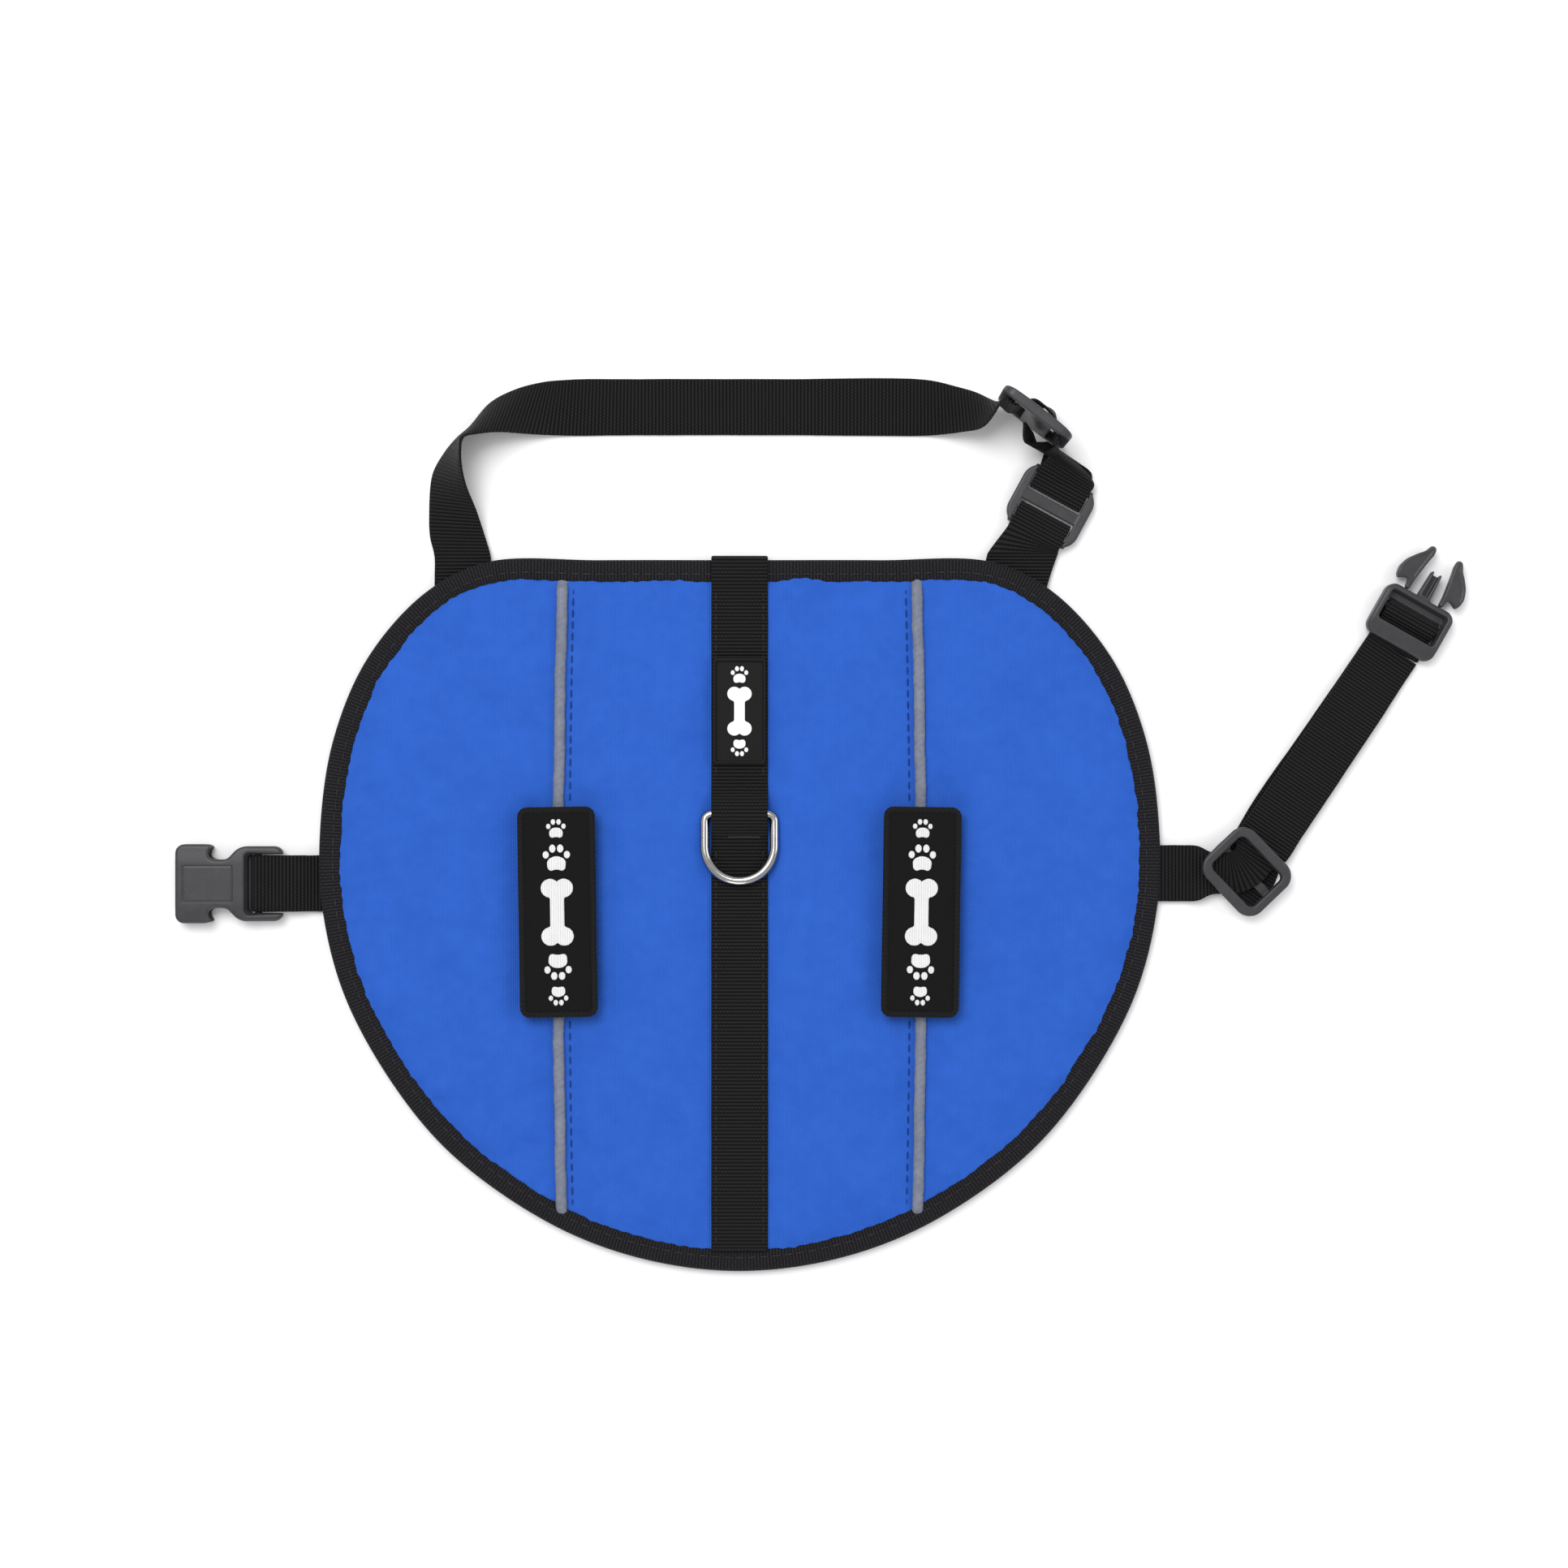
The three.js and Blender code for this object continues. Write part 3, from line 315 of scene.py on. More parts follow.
def ribbon_section():
    """A flat section with round ends: half circles joined by straight faces, as (across, up)."""
    turn = np.linspace(-math.pi / 2, math.pi / 2, SELVEDGE)
    flat = np.linspace(-1, 1, ACROSS)[1:-1] * (WEB_WIDTH - WEB) / 2
    right = np.stack([WEB_WIDTH / 2 - WEB / 2 + np.cos(turn) * WEB / 2, np.sin(turn) * WEB / 2], -1)
    top = np.stack([flat[::-1], np.full(ACROSS - 2, WEB / 2)], -1)
    under = np.stack([flat, np.full(ACROSS - 2, -WEB / 2)], -1)
    return np.concatenate([right, top, -right, under])


def ribbon(name, left, right, seed):
    """Webbing between two edge paths of equal length, each a list of points.

    A section point (a, b) lies at the middle + a * across + b * normal, with a scaled to the
    distance between the edges.
    """
    left, right = np.asarray(left, float), np.asarray(right, float)
    middle = (left + right) / 2
    gap = np.linalg.norm(right - left, axis=1)
    across = unit(right - left)
    along = unit(np.gradient(middle, axis=0))
    normal = unit(np.cross(across, along))
    s = lengths(middle)
    section = ribbon_section()
    spans = section[:, 0] / WEB_WIDTH * (gap + FRAY * wobble(s, seed, FRAY_WAVE))[:, None]
    grid = (middle[:, None] + spans[..., None] * across[:, None]
            + section[:, 1:] * normal[:, None])
    faces, uv = carried(grid, s, lengths(closed_up(section)), False)
    return piece(name, grid.reshape(-1, 3), faces, WEBBING, uv)


def straight_ribbon(name, profile, place, degrees, seed):
    """Webbing whose side view is a profile of (distance, height), laid in one direction."""
    ahead = heading(degrees)
    run = np.asarray(profile, float)
    middle = np.column_stack([np.array(place) + run[:, :1] * ahead, run[:, 1]])
    half_side = np.array([-ahead[1], ahead[0], 0]) * WEB_WIDTH / 2
    return ribbon(name, middle + half_side, middle - half_side, seed)


print("webbing is", WEB_WIDTH, "by", WEB, "mm")
# %% [markdown]
# ## Finishes
# Each finish is a Principled BSDF fed by a few small node groups.  The groups give a weave's
# height, and a slow mottle that keeps large areas from looking even.  The weave's height also
# sets the colour: painted shade in its hollows and painted highlight on its crests.  Patterns
# read either the piece's own surface coordinates, which run along it in metres, or its Object
# coordinates.


# %% Tools for shader nodes
def feed(tree, value, socket):
    """A number is set on the socket, and another node's output is linked to it."""
    if isinstance(value, bpy.types.NodeSocket):
        tree.links.new(value, socket)
    else:
        socket.default_value = value


def calc(tree, operation, *values):
    """A Math node's result."""
    node = tree.nodes.new("ShaderNodeMath")
    node.operation = operation
    for socket, value in zip(node.inputs, values):
        feed(tree, value, socket)
    return node.outputs[0]


def new_group(name, inputs, outputs):
    """A shader node group with named inputs, each a kind and a default, and named outputs."""
    tree = bpy.data.node_groups.new(name, "ShaderNodeTree")
    for label, (kind, value) in inputs.items():
        socket = tree.interface.new_socket(name=label, in_out="INPUT", socket_type=kind)
        if value is not None:
            socket.default_value = value
    for label in outputs:
        tree.interface.new_socket(name=label, in_out="OUTPUT", socket_type="NodeSocketFloat")
    return tree, tree.nodes.new("NodeGroupInput").outputs, tree.nodes.new("NodeGroupOutput").inputs


def use_group(tree, group, **values):
    """One use of a group in a material; returns its outputs."""
    node = tree.nodes.new("ShaderNodeGroup")
    node.node_tree = group
    for label, value in values.items():
        feed(tree, value, node.inputs[label])
    return node.outputs


FLOAT, VECTOR = "NodeSocketFloat", "NodeSocketVector"
print("node tools ready")

# %% Group: threads woven in ribs
# Height is |sin(pi s)| * (0.6 + 0.4 |sin(pi t)|).  s counts ribs along the piece and leans with the
# distance across it; t counts threads across it and shifts by half a thread from rib to rib.
ribs, given, result = new_group(
    "woven_ribs", {"Surface": (VECTOR, None), "Rib": (FLOAT, 0.0016), "Thread": (FLOAT, 0.0008),
                   "Lean": (FLOAT, 0.0)}, ["Height"])
split = ribs.nodes.new("ShaderNodeSeparateXYZ")
ribs.links.new(given["Surface"], split.inputs[0])
leaning = calc(ribs, "MULTIPLY", split.outputs[1], given["Lean"])
rib_count = calc(ribs, "DIVIDE", calc(ribs, "ADD", split.outputs[0], leaning), given["Rib"])
rib_wave = calc(ribs, "ABSOLUTE", calc(ribs, "SINE", calc(ribs, "MULTIPLY", rib_count, math.pi)))
shift = calc(ribs, "MULTIPLY", calc(ribs, "FLOOR", rib_count), 0.5)
thread_count = calc(ribs, "ADD", calc(ribs, "DIVIDE", split.outputs[1], given["Thread"]), shift)
thread_wave = calc(
    ribs, "ABSOLUTE", calc(ribs, "SINE", calc(ribs, "MULTIPLY", thread_count, math.pi)))
share = calc(ribs, "ADD", calc(ribs, "MULTIPLY", thread_wave, 0.4), 0.6)
ribs.links.new(calc(ribs, "MULTIPLY", rib_wave, share), result["Height"])
print("group", ribs.name, "has", len(ribs.nodes), "nodes")

# %% Group: a slow mottle
# Two noises, one three times as fine as the other, added and stretched to fill 0 to 1.
mottle, given, result = new_group(
    "mottle", {"Place": (VECTOR, None), "Size": (FLOAT, 0.01), "Contrast": (FLOAT, 1.5)}, ["Value"])
scale = calc(mottle, "DIVIDE", 1.0, given["Size"])
both = []
for finer in (1.0, 3.0):
    noise = mottle.nodes.new("ShaderNodeTexNoise")
    mottle.links.new(given["Place"], noise.inputs["Vector"])
    mottle.links.new(calc(mottle, "MULTIPLY", scale, finer), noise.inputs["Scale"])
    noise.inputs["Detail"].default_value = 3
    both.append(noise.outputs["Fac"])
mean = calc(mottle, "MULTIPLY", calc(mottle, "ADD", *both), 0.5)
spread = calc(mottle, "MULTIPLY", calc(mottle, "SUBTRACT", mean, 0.5), given["Contrast"])
clamped = calc(mottle, "MINIMUM", calc(mottle, "MAXIMUM", calc(mottle, "ADD", spread, 0.5), 0), 1)
mottle.links.new(clamped, result["Value"])
print("group", mottle.name, "has", len(mottle.nodes), "nodes")


# %% One recipe for every finish
GRAIN_SIZE = 0.0009            # metres
ROUGH_SPREAD = 0.12


def finish(name, dark, light, rough, pattern=None, surface=False, size=0.012, mix=0.5,
           depth=0.2, contrast=1.6, grain=0.0, metal=0.0, sheen=0.0, gloss=0.12):
    """A finish from a pattern's height and the mottle.

    The colour goes from dark to light with mix parts of the pattern and 1 - mix parts of the
    mottle.  The pattern's part is painted shade in the weave's hollows and painted highlight on
    its crests, and the mottle's part is uneven tone.  pattern is the keyword values of woven_ribs
    in millimetres, depth its height in millimetres, and grain the depth of a fine noise that is
    added to it.
    """
    material, shader = new_material(name, light, rough, metal)
    tree = material.node_tree
    place = tree.nodes.new("ShaderNodeTexCoord")
    where = place.outputs["UV"] if surface else place.outputs["Object"]
    slow = use_group(tree, mottle, Place=place.outputs["Object"], Size=size,
                     Contrast=contrast)["Value"]
    height = None
    share = slow
    if pattern:
        sized = {k: v * MM if k != "Lean" else v for k, v in pattern.items()}
        height = use_group(tree, ribs, Surface=where, **sized)["Height"]
        # The weave's height goes into the colour too: painted shade in its hollows, painted
        # highlight on its crests.
        share = calc(tree, "ADD", calc(tree, "MULTIPLY", height, mix),
                     calc(tree, "MULTIPLY", slow, 1 - mix))
    blend = tree.nodes.new("ShaderNodeMix")
    blend.data_type = "RGBA"
    feed(tree, share, blend.inputs["Factor"])
    blend.inputs[6].default_value = (*dark, 1)
    blend.inputs[7].default_value = (*light, 1)
    tree.links.new(blend.outputs[2], shader.inputs["Base Color"])
    if grain:
        fine = use_group(tree, mottle, Place=place.outputs["Object"], Size=GRAIN_SIZE,
                         Contrast=2.0)["Value"]
        fine = calc(tree, "MULTIPLY", fine, grain / depth)
        height = calc(tree, "ADD", height, fine) if height else fine
    if height:
        bump = tree.nodes.new("ShaderNodeBump")
        bump.inputs["Distance"].default_value = depth * MM
        bump.inputs["Strength"].default_value = 1.0
        feed(tree, height, bump.inputs["Height"])
        tree.links.new(bump.outputs["Normal"], shader.inputs["Normal"])
    uneven = calc(tree, "ADD", calc(tree, "MULTIPLY", slow, ROUGH_SPREAD),
                  rough - ROUGH_SPREAD / 2)
    tree.links.new(uneven, shader.inputs["Roughness"])
    shader.inputs["Sheen Weight"].default_value = sheen
    shader.inputs["Sheen Roughness"].default_value = 0.4
    shader.inputs["Specular IOR Level"].default_value = gloss
    return material


# %% The fabrics
WEBBING = finish("webbing_black", (0.0003, 0.0003, 0.0004), (0.018, 0.018, 0.019), 0.62,
                 {"Rib": 1.6, "Thread": 1.5}, surface=True, mix=0.9, depth=0.8, sheen=0.02)
TAPE = finish("binding_grosgrain", (0.0015, 0.0015, 0.002), (0.022, 0.020, 0.024), 0.75,
              {"Rib": 1.5, "Thread": 3.0}, surface=True, mix=0.8, depth=0.45, sheen=0.05)
SHELL = finish("shell_blue", (0.014, 0.078, 0.410), (0.028, 0.122, 0.560), 0.7,
               {"Rib": 0.9, "Thread": 0.9}, size=0.018, mix=0.35, depth=0.10, grain=0.05,
               sheen=0.03)
LINING = finish("lining_knit", (0.004, 0.004, 0.005), (0.035, 0.035, 0.038), 0.9,
                {"Rib": 3.2, "Thread": 2.4}, mix=0.8, depth=0.6)
FOAM = finish("foam_cream", (0.52, 0.50, 0.42), (0.72, 0.70, 0.62), 0.95, size=0.003, grain=0.4,
              depth=0.4)
PIPING = finish("piping_grey", (0.11, 0.125, 0.165), (0.23, 0.25, 0.31), 0.42,
                {"Rib": 2.9, "Thread": 9.0, "Lean": 0.5}, surface=True, size=0.006, mix=0.1,
                depth=0.04)
CORD = finish("cord_cotton", (0.45, 0.44, 0.40), (0.80, 0.79, 0.75), 0.9,
              {"Rib": 1.2, "Thread": 2.0, "Lean": 1.0}, mix=0.7, depth=0.2)
LOOP = finish("loop_tape", (0.004, 0.004, 0.005), (0.030, 0.030, 0.032), 0.95, size=0.0016,
              contrast=3, grain=0.5, depth=0.5, sheen=0.1)
HOOK = finish("hook_tape", (0.004, 0.004, 0.004), (0.022, 0.022, 0.024), 0.7,
              {"Rib": 1.4, "Thread": 1.4}, mix=0.8, depth=0.6)
TWILL = finish("patch_twill", (0.001, 0.001, 0.001), (0.010, 0.010, 0.011), 0.78,
               {"Rib": 1.0, "Thread": 0.7, "Lean": 1.0}, mix=0.75, depth=0.18)
BORDER = finish("border_thread", (0.001, 0.001, 0.001), (0.013, 0.013, 0.014), 0.5,
                {"Rib": 1.0, "Thread": 30.0, "Lean": 0.35}, surface=True, mix=0.85, depth=0.35,
                sheen=0.1)
WHITE = finish("white_satin_stitch", (0.62, 0.62, 0.62), (0.90, 0.90, 0.90), 0.55,
               {"Rib": 0.8, "Thread": 30.0}, mix=0.6, depth=0.25, sheen=0.1)
print("fabrics:", len(bpy.data.materials))

# %% Threads, rubber, plastic and metal
BLUE_THREAD = finish("thread_blue", (0.006, 0.028, 0.160), (0.016, 0.062, 0.310), 0.6,
                     {"Rib": 0.5, "Thread": 2.0, "Lean": 1.0}, mix=0.5, depth=0.1)
DARK_THREAD = finish("thread_dark", (0.006, 0.006, 0.007), (0.050, 0.048, 0.054), 0.6,
                     {"Rib": 0.5, "Thread": 2.0, "Lean": 1.0}, mix=0.5, depth=0.1)
GREY_THREAD = finish("thread_grey", (0.030, 0.030, 0.034), (0.105, 0.105, 0.115), 0.6,
                     {"Rib": 0.6, "Thread": 2.0}, mix=0.5, depth=0.15)
RUBBER = finish("label_rubber", (0.003, 0.003, 0.003), (0.007, 0.007, 0.008), 0.5, size=0.004,
                grain=0.05, depth=0.05)
EMBLEM = finish("emblem_white", (0.74, 0.74, 0.74), (0.86, 0.86, 0.86), 0.5, size=0.004,
                grain=0.04, depth=0.04)
PLASTIC = finish("acetal_dark", (0.026, 0.025, 0.028), (0.040, 0.039, 0.043), 0.40, size=0.008,
                 grain=0.035, depth=0.035, gloss=0.4)
NICKEL = finish("nickel_plate", (0.34, 0.33, 0.32), (0.52, 0.51, 0.50), 0.14, size=0.01,
                metal=1.0, gloss=0.5)
print("finishes in all:", len(bpy.data.materials))
# %% [markdown]
# ## The panel's outline
# The back panel has a straight neck edge, full shoulders, a waist at the girth belt and a round
# tail.  Half of it is drawn as shares of half the panel, and the other half mirrors it.

# %% Outline
VEST_WIDTH, VEST_LENGTH = 379.2, 321.0
HALF_W, HALF_L = VEST_WIDTH / 2, VEST_LENGTH / 2
HALF_OUTLINE = [
    (0, 1), (0.33, 1), (0.6, 0.995), (0.745, 0.912), (0.885, 0.727), (0.967, 0.499),
    (0.999, 0.25), (0.994, 0.02), (0.938, -0.235), (0.805, -0.51), (0.666, -0.693),
    (0.436, -0.876), (0.223, -0.968), (0, -1)]
EDGE_STEP = 1.3

right_half = np.array(HALF_OUTLINE) * [HALF_W, HALF_L]
left_half = right_half[1:-1][::-1] * [-1, 1]
ring = np.concatenate([right_half, left_half])
per = 24
looped = curve(np.concatenate([ring[-2:], ring, ring[:3]]), per)[2 * per:-2 * per]
EDGE = evenly(looped, EDGE_STEP)[:-1]
EDGE_AHEAD = ahead_round(EDGE)
EDGE_IN = np.stack([EDGE_AHEAD[:, 1], -EDGE_AHEAD[:, 0]], -1)
print("outline", round(lengths(closed_up(EDGE))[-1]), "mm round,", len(EDGE), "points")


def edge_x(y, inset):
    """Half the panel's width at heights y, this far in from its edge."""
    moved = EDGE + inset * EDGE_IN
    side = moved[: len(EDGE) // 2]
    order = np.argsort(side[:, 1])
    return np.interp(y, side[order, 1], side[order, 0])


# %% Seams
PIPE_X = 79.5
PIPE_BOW = 2.2


def seam_x(y):
    """Distance of the piping seam from the spine: an arc that bows outwards by PIPE_BOW."""
    return PIPE_X + PIPE_BOW * (1 - (y / HALF_L) ** 2)


print("seam at the middle", seam_x(0.0), "mm")

# %% [markdown]
# ## Shell cloth over the padding
# Three pieces of blue cloth are sewn at the binding and at the piping seams, and the padding
# pushes them up in between.  Each starts as a flat grid held at its four edges, and Blender's
# cloth lifts it.  It is then pressed down where webbing and patches lie, and gathered in small
# puckers along the binding.

# %% Cloth held at its edges
CELL = 3.2                     # size of a cloth cell
SHELL_Z = 4.9
SHELL_THICK = 0.5
CROWN = 3.4                    # the padding's most height over the seams
FRAMES = 18
CLOTH = dict(quality=5, mass=0.15, tension_stiffness=12, compression_stiffness=12,
             shear_stiffness=4, bending_stiffness=0.05, air_damping=2, shrink_min=-0.006,
             vertex_group_mass="held", use_pressure=True, uniform_pressure_force=2.5)


def lifted(grid):
    """Heights of a flat grid of cloth that air pushes up while its four edges are held."""
    rows, columns = grid.shape[:2]
    cloth = piece("cloth", grid.reshape(-1, 3), [quads(rows, columns)[:, ::-1]], SHELL)
    held = cloth.vertex_groups.new(name="held")
    number = np.arange(rows * columns).reshape(rows, columns)
    rim = np.concatenate([number[0], number[-1], number[1:-1, 0], number[1:-1, -1]])
    held.add([int(k) for k in rim], 1.0, "REPLACE")
    cloth_modifier = cloth.modifiers.new("cloth", "CLOTH")
    for label, value in CLOTH.items():
        setattr(cloth_modifier.settings, label, value)
    cloth_modifier.settings.effector_weights.gravity = 0
    cloth_modifier.point_cache.frame_start = 1
    cloth_modifier.point_cache.frame_end = FRAMES
    for step in range(1, FRAMES + 1):
        bpy.context.scene.frame_set(step)
    view = bpy.context.evaluated_depsgraph_get()
    shape = cloth.evaluated_get(view).to_mesh()
    got = np.zeros(len(shape.vertices) * 3, np.float32)
    shape.vertices.foreach_get("co", got)
    bpy.data.objects.remove(cloth)
    bpy.context.scene.frame_set(1)
    return got.reshape(rows, columns, 3)[..., 2] / MM - grid[..., 2]


# %% Where things press on the cloth
PRESSED = [                    # centre x, centre y, half width, half length
    (0.0, 0.0, 13.2, 165.0), (-81.5, 2.0, 17.0, 47.0), (81.5, 2.0, 17.0, 47.0)]
RISE = 16.0                    # distance over which the cloth comes up again


def free_share(x, y):
    """0 under webbing and patches, rising smoothly to 1 at a distance RISE from them."""
    share = np.ones_like(x)
    for cx, cy, hw, hl in PRESSED:
        away = np.hypot(np.maximum(np.abs(x - cx) - hw, 0), np.maximum(np.abs(y - cy) - hl, 0))
        t = np.clip(away / RISE, 0, 1)
        share = np.minimum(share, t * (2 - t))
    return share


def edge_distance(x, y):
    """Distance of points from the panel's edge, and how far along the edge the nearest lies."""
    flat = np.stack([x.ravel(), y.ravel()], -1)
    gap = np.linalg.norm(flat[:, None] - EDGE[None, ::2], axis=2)
    nearest = gap.argmin(1)
    return gap.min(1).reshape(x.shape), (nearest * 2 * EDGE_STEP).reshape(x.shape)


EDGE_PUCKER, FINE_PUCKER, SEAM_PUCKER = 1.0, 0.42, 0.6     # heights of the gathers
SLOW_WAVE = 1.3
CLEAR = 0.12                   # the cloth's least height over the seams' level
SINK = -0.15


def puckered(grid, height, seed):
    """The cloth's final heights: the lift, held below CROWN and pressed down by what lies on it,
    with puckers that fade inwards from the binding and from the seams, and slow waves.  It lies
    flat along the binding and the topstitching, and never sinks into the padding."""
    x, y = grid[..., 0], grid[..., 1]
    soft = CROWN * np.tanh(np.maximum(height, 0) / CROWN)
    away, along = edge_distance(x, y)
    gather = EDGE_PUCKER * wobble(along, seed, 47.0) * bell(away, 12, 9)
    gather += FINE_PUCKER * wobble(along, seed + 1, 29.0) * bell(away, 10, 5)
    near_seam = np.abs(np.abs(x) - seam_x(y))
    ruck = wobble(y + 40 * np.sign(x), seed + 2, 61.0)
    gather += SEAM_PUCKER * ruck * bell(near_seam, 10, 5)
    slow = wobble(x + 0.6 * y, seed + 3, 95.0) * wobble(y - 0.4 * x, seed + 4, 120.0)
    tucked = np.clip((away - 8.5) / 7, 0, 1)
    sewn = np.clip((near_seam - 5.5) / 6, 0.1, 1)
    rise = (soft + gather + SLOW_WAVE * slow) * free_share(x, y) * tucked * (2 - tucked) * sewn
    return SHELL_Z + CLEAR + np.maximum(rise, SINK)


# %% The shell pieces
def closed_sheet(name, top, thick, material):
    """A closed sheet from its upper surface: the same grid lies a thickness lower, and a wall of
    quads joins the two all round."""
    rows, columns = top.shape[:2]
    under = top - [0, 0, thick]
    count = rows * columns
    face = quads(rows, columns)
    number = np.arange(count).reshape(rows, columns)
    rim = np.concatenate([number[0, :-1], number[:-1, -1], number[-1, :0:-1], number[:0:-1, 0]])
    ahead = np.roll(rim, -1)
    wall = np.stack([rim, rim + count, ahead + count, ahead], -1)
    faces = [face[:, ::-1], face + count, wall]
    return piece(name, np.concatenate([top.reshape(-1, 3), under.reshape(-1, 3)]), faces, material)


def panel_grid(inner, outer, low, high, z):
    """Rows from low to high, each running from inner(y) to outer(y)."""
    rows = int((high - low) / CELL) + 1
    y = np.linspace(low, high, rows)
    a, b = inner(y), outer(y)
    columns = int(np.abs(b - a).max() / CELL) + 1
    t = np.linspace(0, 1, columns)
    x = a[:, None] + (b - a)[:, None] * t
    return np.stack([x, np.broadcast_to(y[:, None], x.shape), np.full_like(x, z)], -1)


UNDER_TAPE = 3.0               # the cloth runs this close to the panel's edge
SEAM_GAP = 1.6                 # seam's centre to the cloth's edge
narrow = np.linspace(-HALF_L, 0, 400)
side_low = narrow[np.argmax(edge_x(narrow, UNDER_TAPE) - seam_x(narrow) > 7)]


def rim(y):
    """A shell's edge under the binding."""
    return edge_x(y, UNDER_TAPE)


def middle_rim(y):
    """The centre shell's edge, at the seam or under the binding."""
    return np.minimum(seam_x(y) - SEAM_GAP, rim(y))


SHELLS = {                     # inner and outer edge, lowest y, seed
    "shell_left": (lambda y: -rim(y), lambda y: -seam_x(y) - SEAM_GAP, side_low, 11),
    "shell_centre": (lambda y: -middle_rim(y), middle_rim, -HALF_L + 4.4, 23),
    "shell_right": (lambda y: seam_x(y) + SEAM_GAP, rim, side_low, 37),
}
sheets = []
for node, (inner, outer, low, seed) in SHELLS.items():
    grid = panel_grid(inner, outer, low, HALF_L - 3.6, SHELL_Z)
    grid[..., 2] = puckered(grid, lifted(grid), seed)
    cell_area = np.abs(np.diff(grid[..., 0], axis=1)).sum() * (grid[1, 0, 1] - grid[0, 0, 1])
    shell = closed_sheet(node + "_cloth", grid, SHELL_THICK, SHELL)
    shell.modifiers.new("fine", "SUBSURF").levels = 1
    seat(shell, "vest", "shell_cloth", node)
    spread = np.ptp(grid.reshape(-1, 3), axis=0)
    sheets.append((shell, (spread[0] * MM, spread[1] * MM), cell_area * MM * MM, ["padding_pad"]))
    print(node, grid.shape[:2], "highest", round(grid[..., 2].max(), 1))

# %% [markdown]
# ## Padding, lining and the bound edge
# The foam and the lining are cut to the outline.  They are hidden from above, but the vest is
# thick because of them.  A ribbed tape is folded round all three layers and sewn through.

# %% Padding and lining
FOAM_LOW, FOAM_TOP = 1.9, 4.1
LINING_TOP = 1.6
PAD_WAVE = 0.12


def panel_sheet(name, inset, top, thick, material):
    """A closed sheet cut to the outline: rings of points shrink from the edge to the middle."""
    rings = np.linspace(1, 0.02, 40)[:, None, None]
    flat = rings * (EDGE[::3] + inset * EDGE_IN[::3])
    soft = PAD_WAVE * wobble(flat[..., 0], 3, 60.0) * wobble(flat[..., 1], 4, 70.0)
    soft = soft * (1 - rings[..., 0])
    upper = np.concatenate([flat, (top + soft)[..., None]], -1)
    lower = np.concatenate([flat, np.full(flat.shape[:2] + (1,), top - thick)], -1)
    grid = np.concatenate([upper[::-1], lower])
    rows, columns = grid.shape[:2]
    side = quads(rows, columns, round_columns=True)
    last = (rows - 1) * columns
    caps = [np.arange(columns)[::-1][None], (last + np.arange(columns))[None]]
    return piece(name, grid.reshape(-1, 3), [side[:, ::-1]] + caps, material)


pad = panel_sheet("padding_pad", 1.5, FOAM_TOP, FOAM_TOP - FOAM_LOW, FOAM)
seat(pad, "vest", "foam", "padding_foam")
lining = panel_sheet("lining_sheet", 1.2, LINING_TOP, LINING_TOP - 0.1, LINING)
seat(lining, "vest", "lining_mesh", "lining_panel")
print("pad and lining cut to the outline")

# %% Binding tape
TAPE_FOLD = [                  # distance in from the edge, height: outside, then back inside
    (10.0, 0.0), (6.0, 0.0), (2.4, 0.05), (0.9, 0.6), (0.2, 1.9), (0.0, 3.1), (0.2, 4.4),
    (0.9, 5.5), (2.4, 6.25), (5.0, 6.3), (8.0, 6.05), (9.7, 5.75), (10.0, 5.5), (9.6, 5.3),
    (7.0, 5.5), (2.8, 5.6), (1.4, 4.9), (0.9, 3.1), (1.4, 1.3), (2.8, 0.7), (7.0, 0.65),
    (10.0, 0.65)]
TAPE_PITCH = 5.5               # stitch length
TAPE_STITCH_IN = 6.6           # stitch row's distance from the edge
LIP_WAVE, LIP_PULL = 0.3, 0.25 # the inner edge's sideways waves, and each stitch's pull
TAPE_WAVE, TAPE_PULL = 0.16, 0.24          # the same in height

binding_s = np.arange(len(EDGE)) * EDGE_STEP
fold = np.broadcast_to(np.array(TAPE_FOLD), (len(EDGE), len(TAPE_FOLD), 2)).copy()
lip = np.clip((fold[..., 0] - 5.5) / 4.5, 0, 1)
pull = 0.5 - 0.5 * np.cos(2 * math.pi * binding_s / TAPE_PITCH)
fold[..., 0] += lip * (LIP_WAVE * wobble(binding_s, 51, 31.0) - LIP_PULL * pull)[:, None]
upper = (fold[..., 1] > 3) & (fold[..., 0] > 1.5)
relief = TAPE_WAVE * wobble(binding_s, 52, 14.0) - TAPE_PULL * pull
fold[..., 1] += np.where(upper, relief[:, None] * np.clip(fold[..., 0] / 6, 0, 1), 0)
binding = sweep("binding_tape", settle(EDGE, 0), settle(EDGE_IN, 0), upright(EDGE), fold[:, ::-1],
                TAPE, closed=True)
seat(binding, "vest", "binding_tape", "edge_binding")
print("binding", len(binding.data.polygons), "faces")

# %% [markdown]
# ## Stitches
# A lock stitch shows as a short length of thread that rises from one needle hole and sinks into
# the next.  One function lays a whole row of them along a path.


# %% A row of stitches
STITCH_SINK = 0.35             # how far a stitch's ends dip
STITCH_T = np.array([-1.0, -0.85, -0.45, 0.0, 0.45, 0.85, 1.0])
THREAD_SIDES = 6
STITCH_POINTS = len(STITCH_T) * THREAD_SIDES


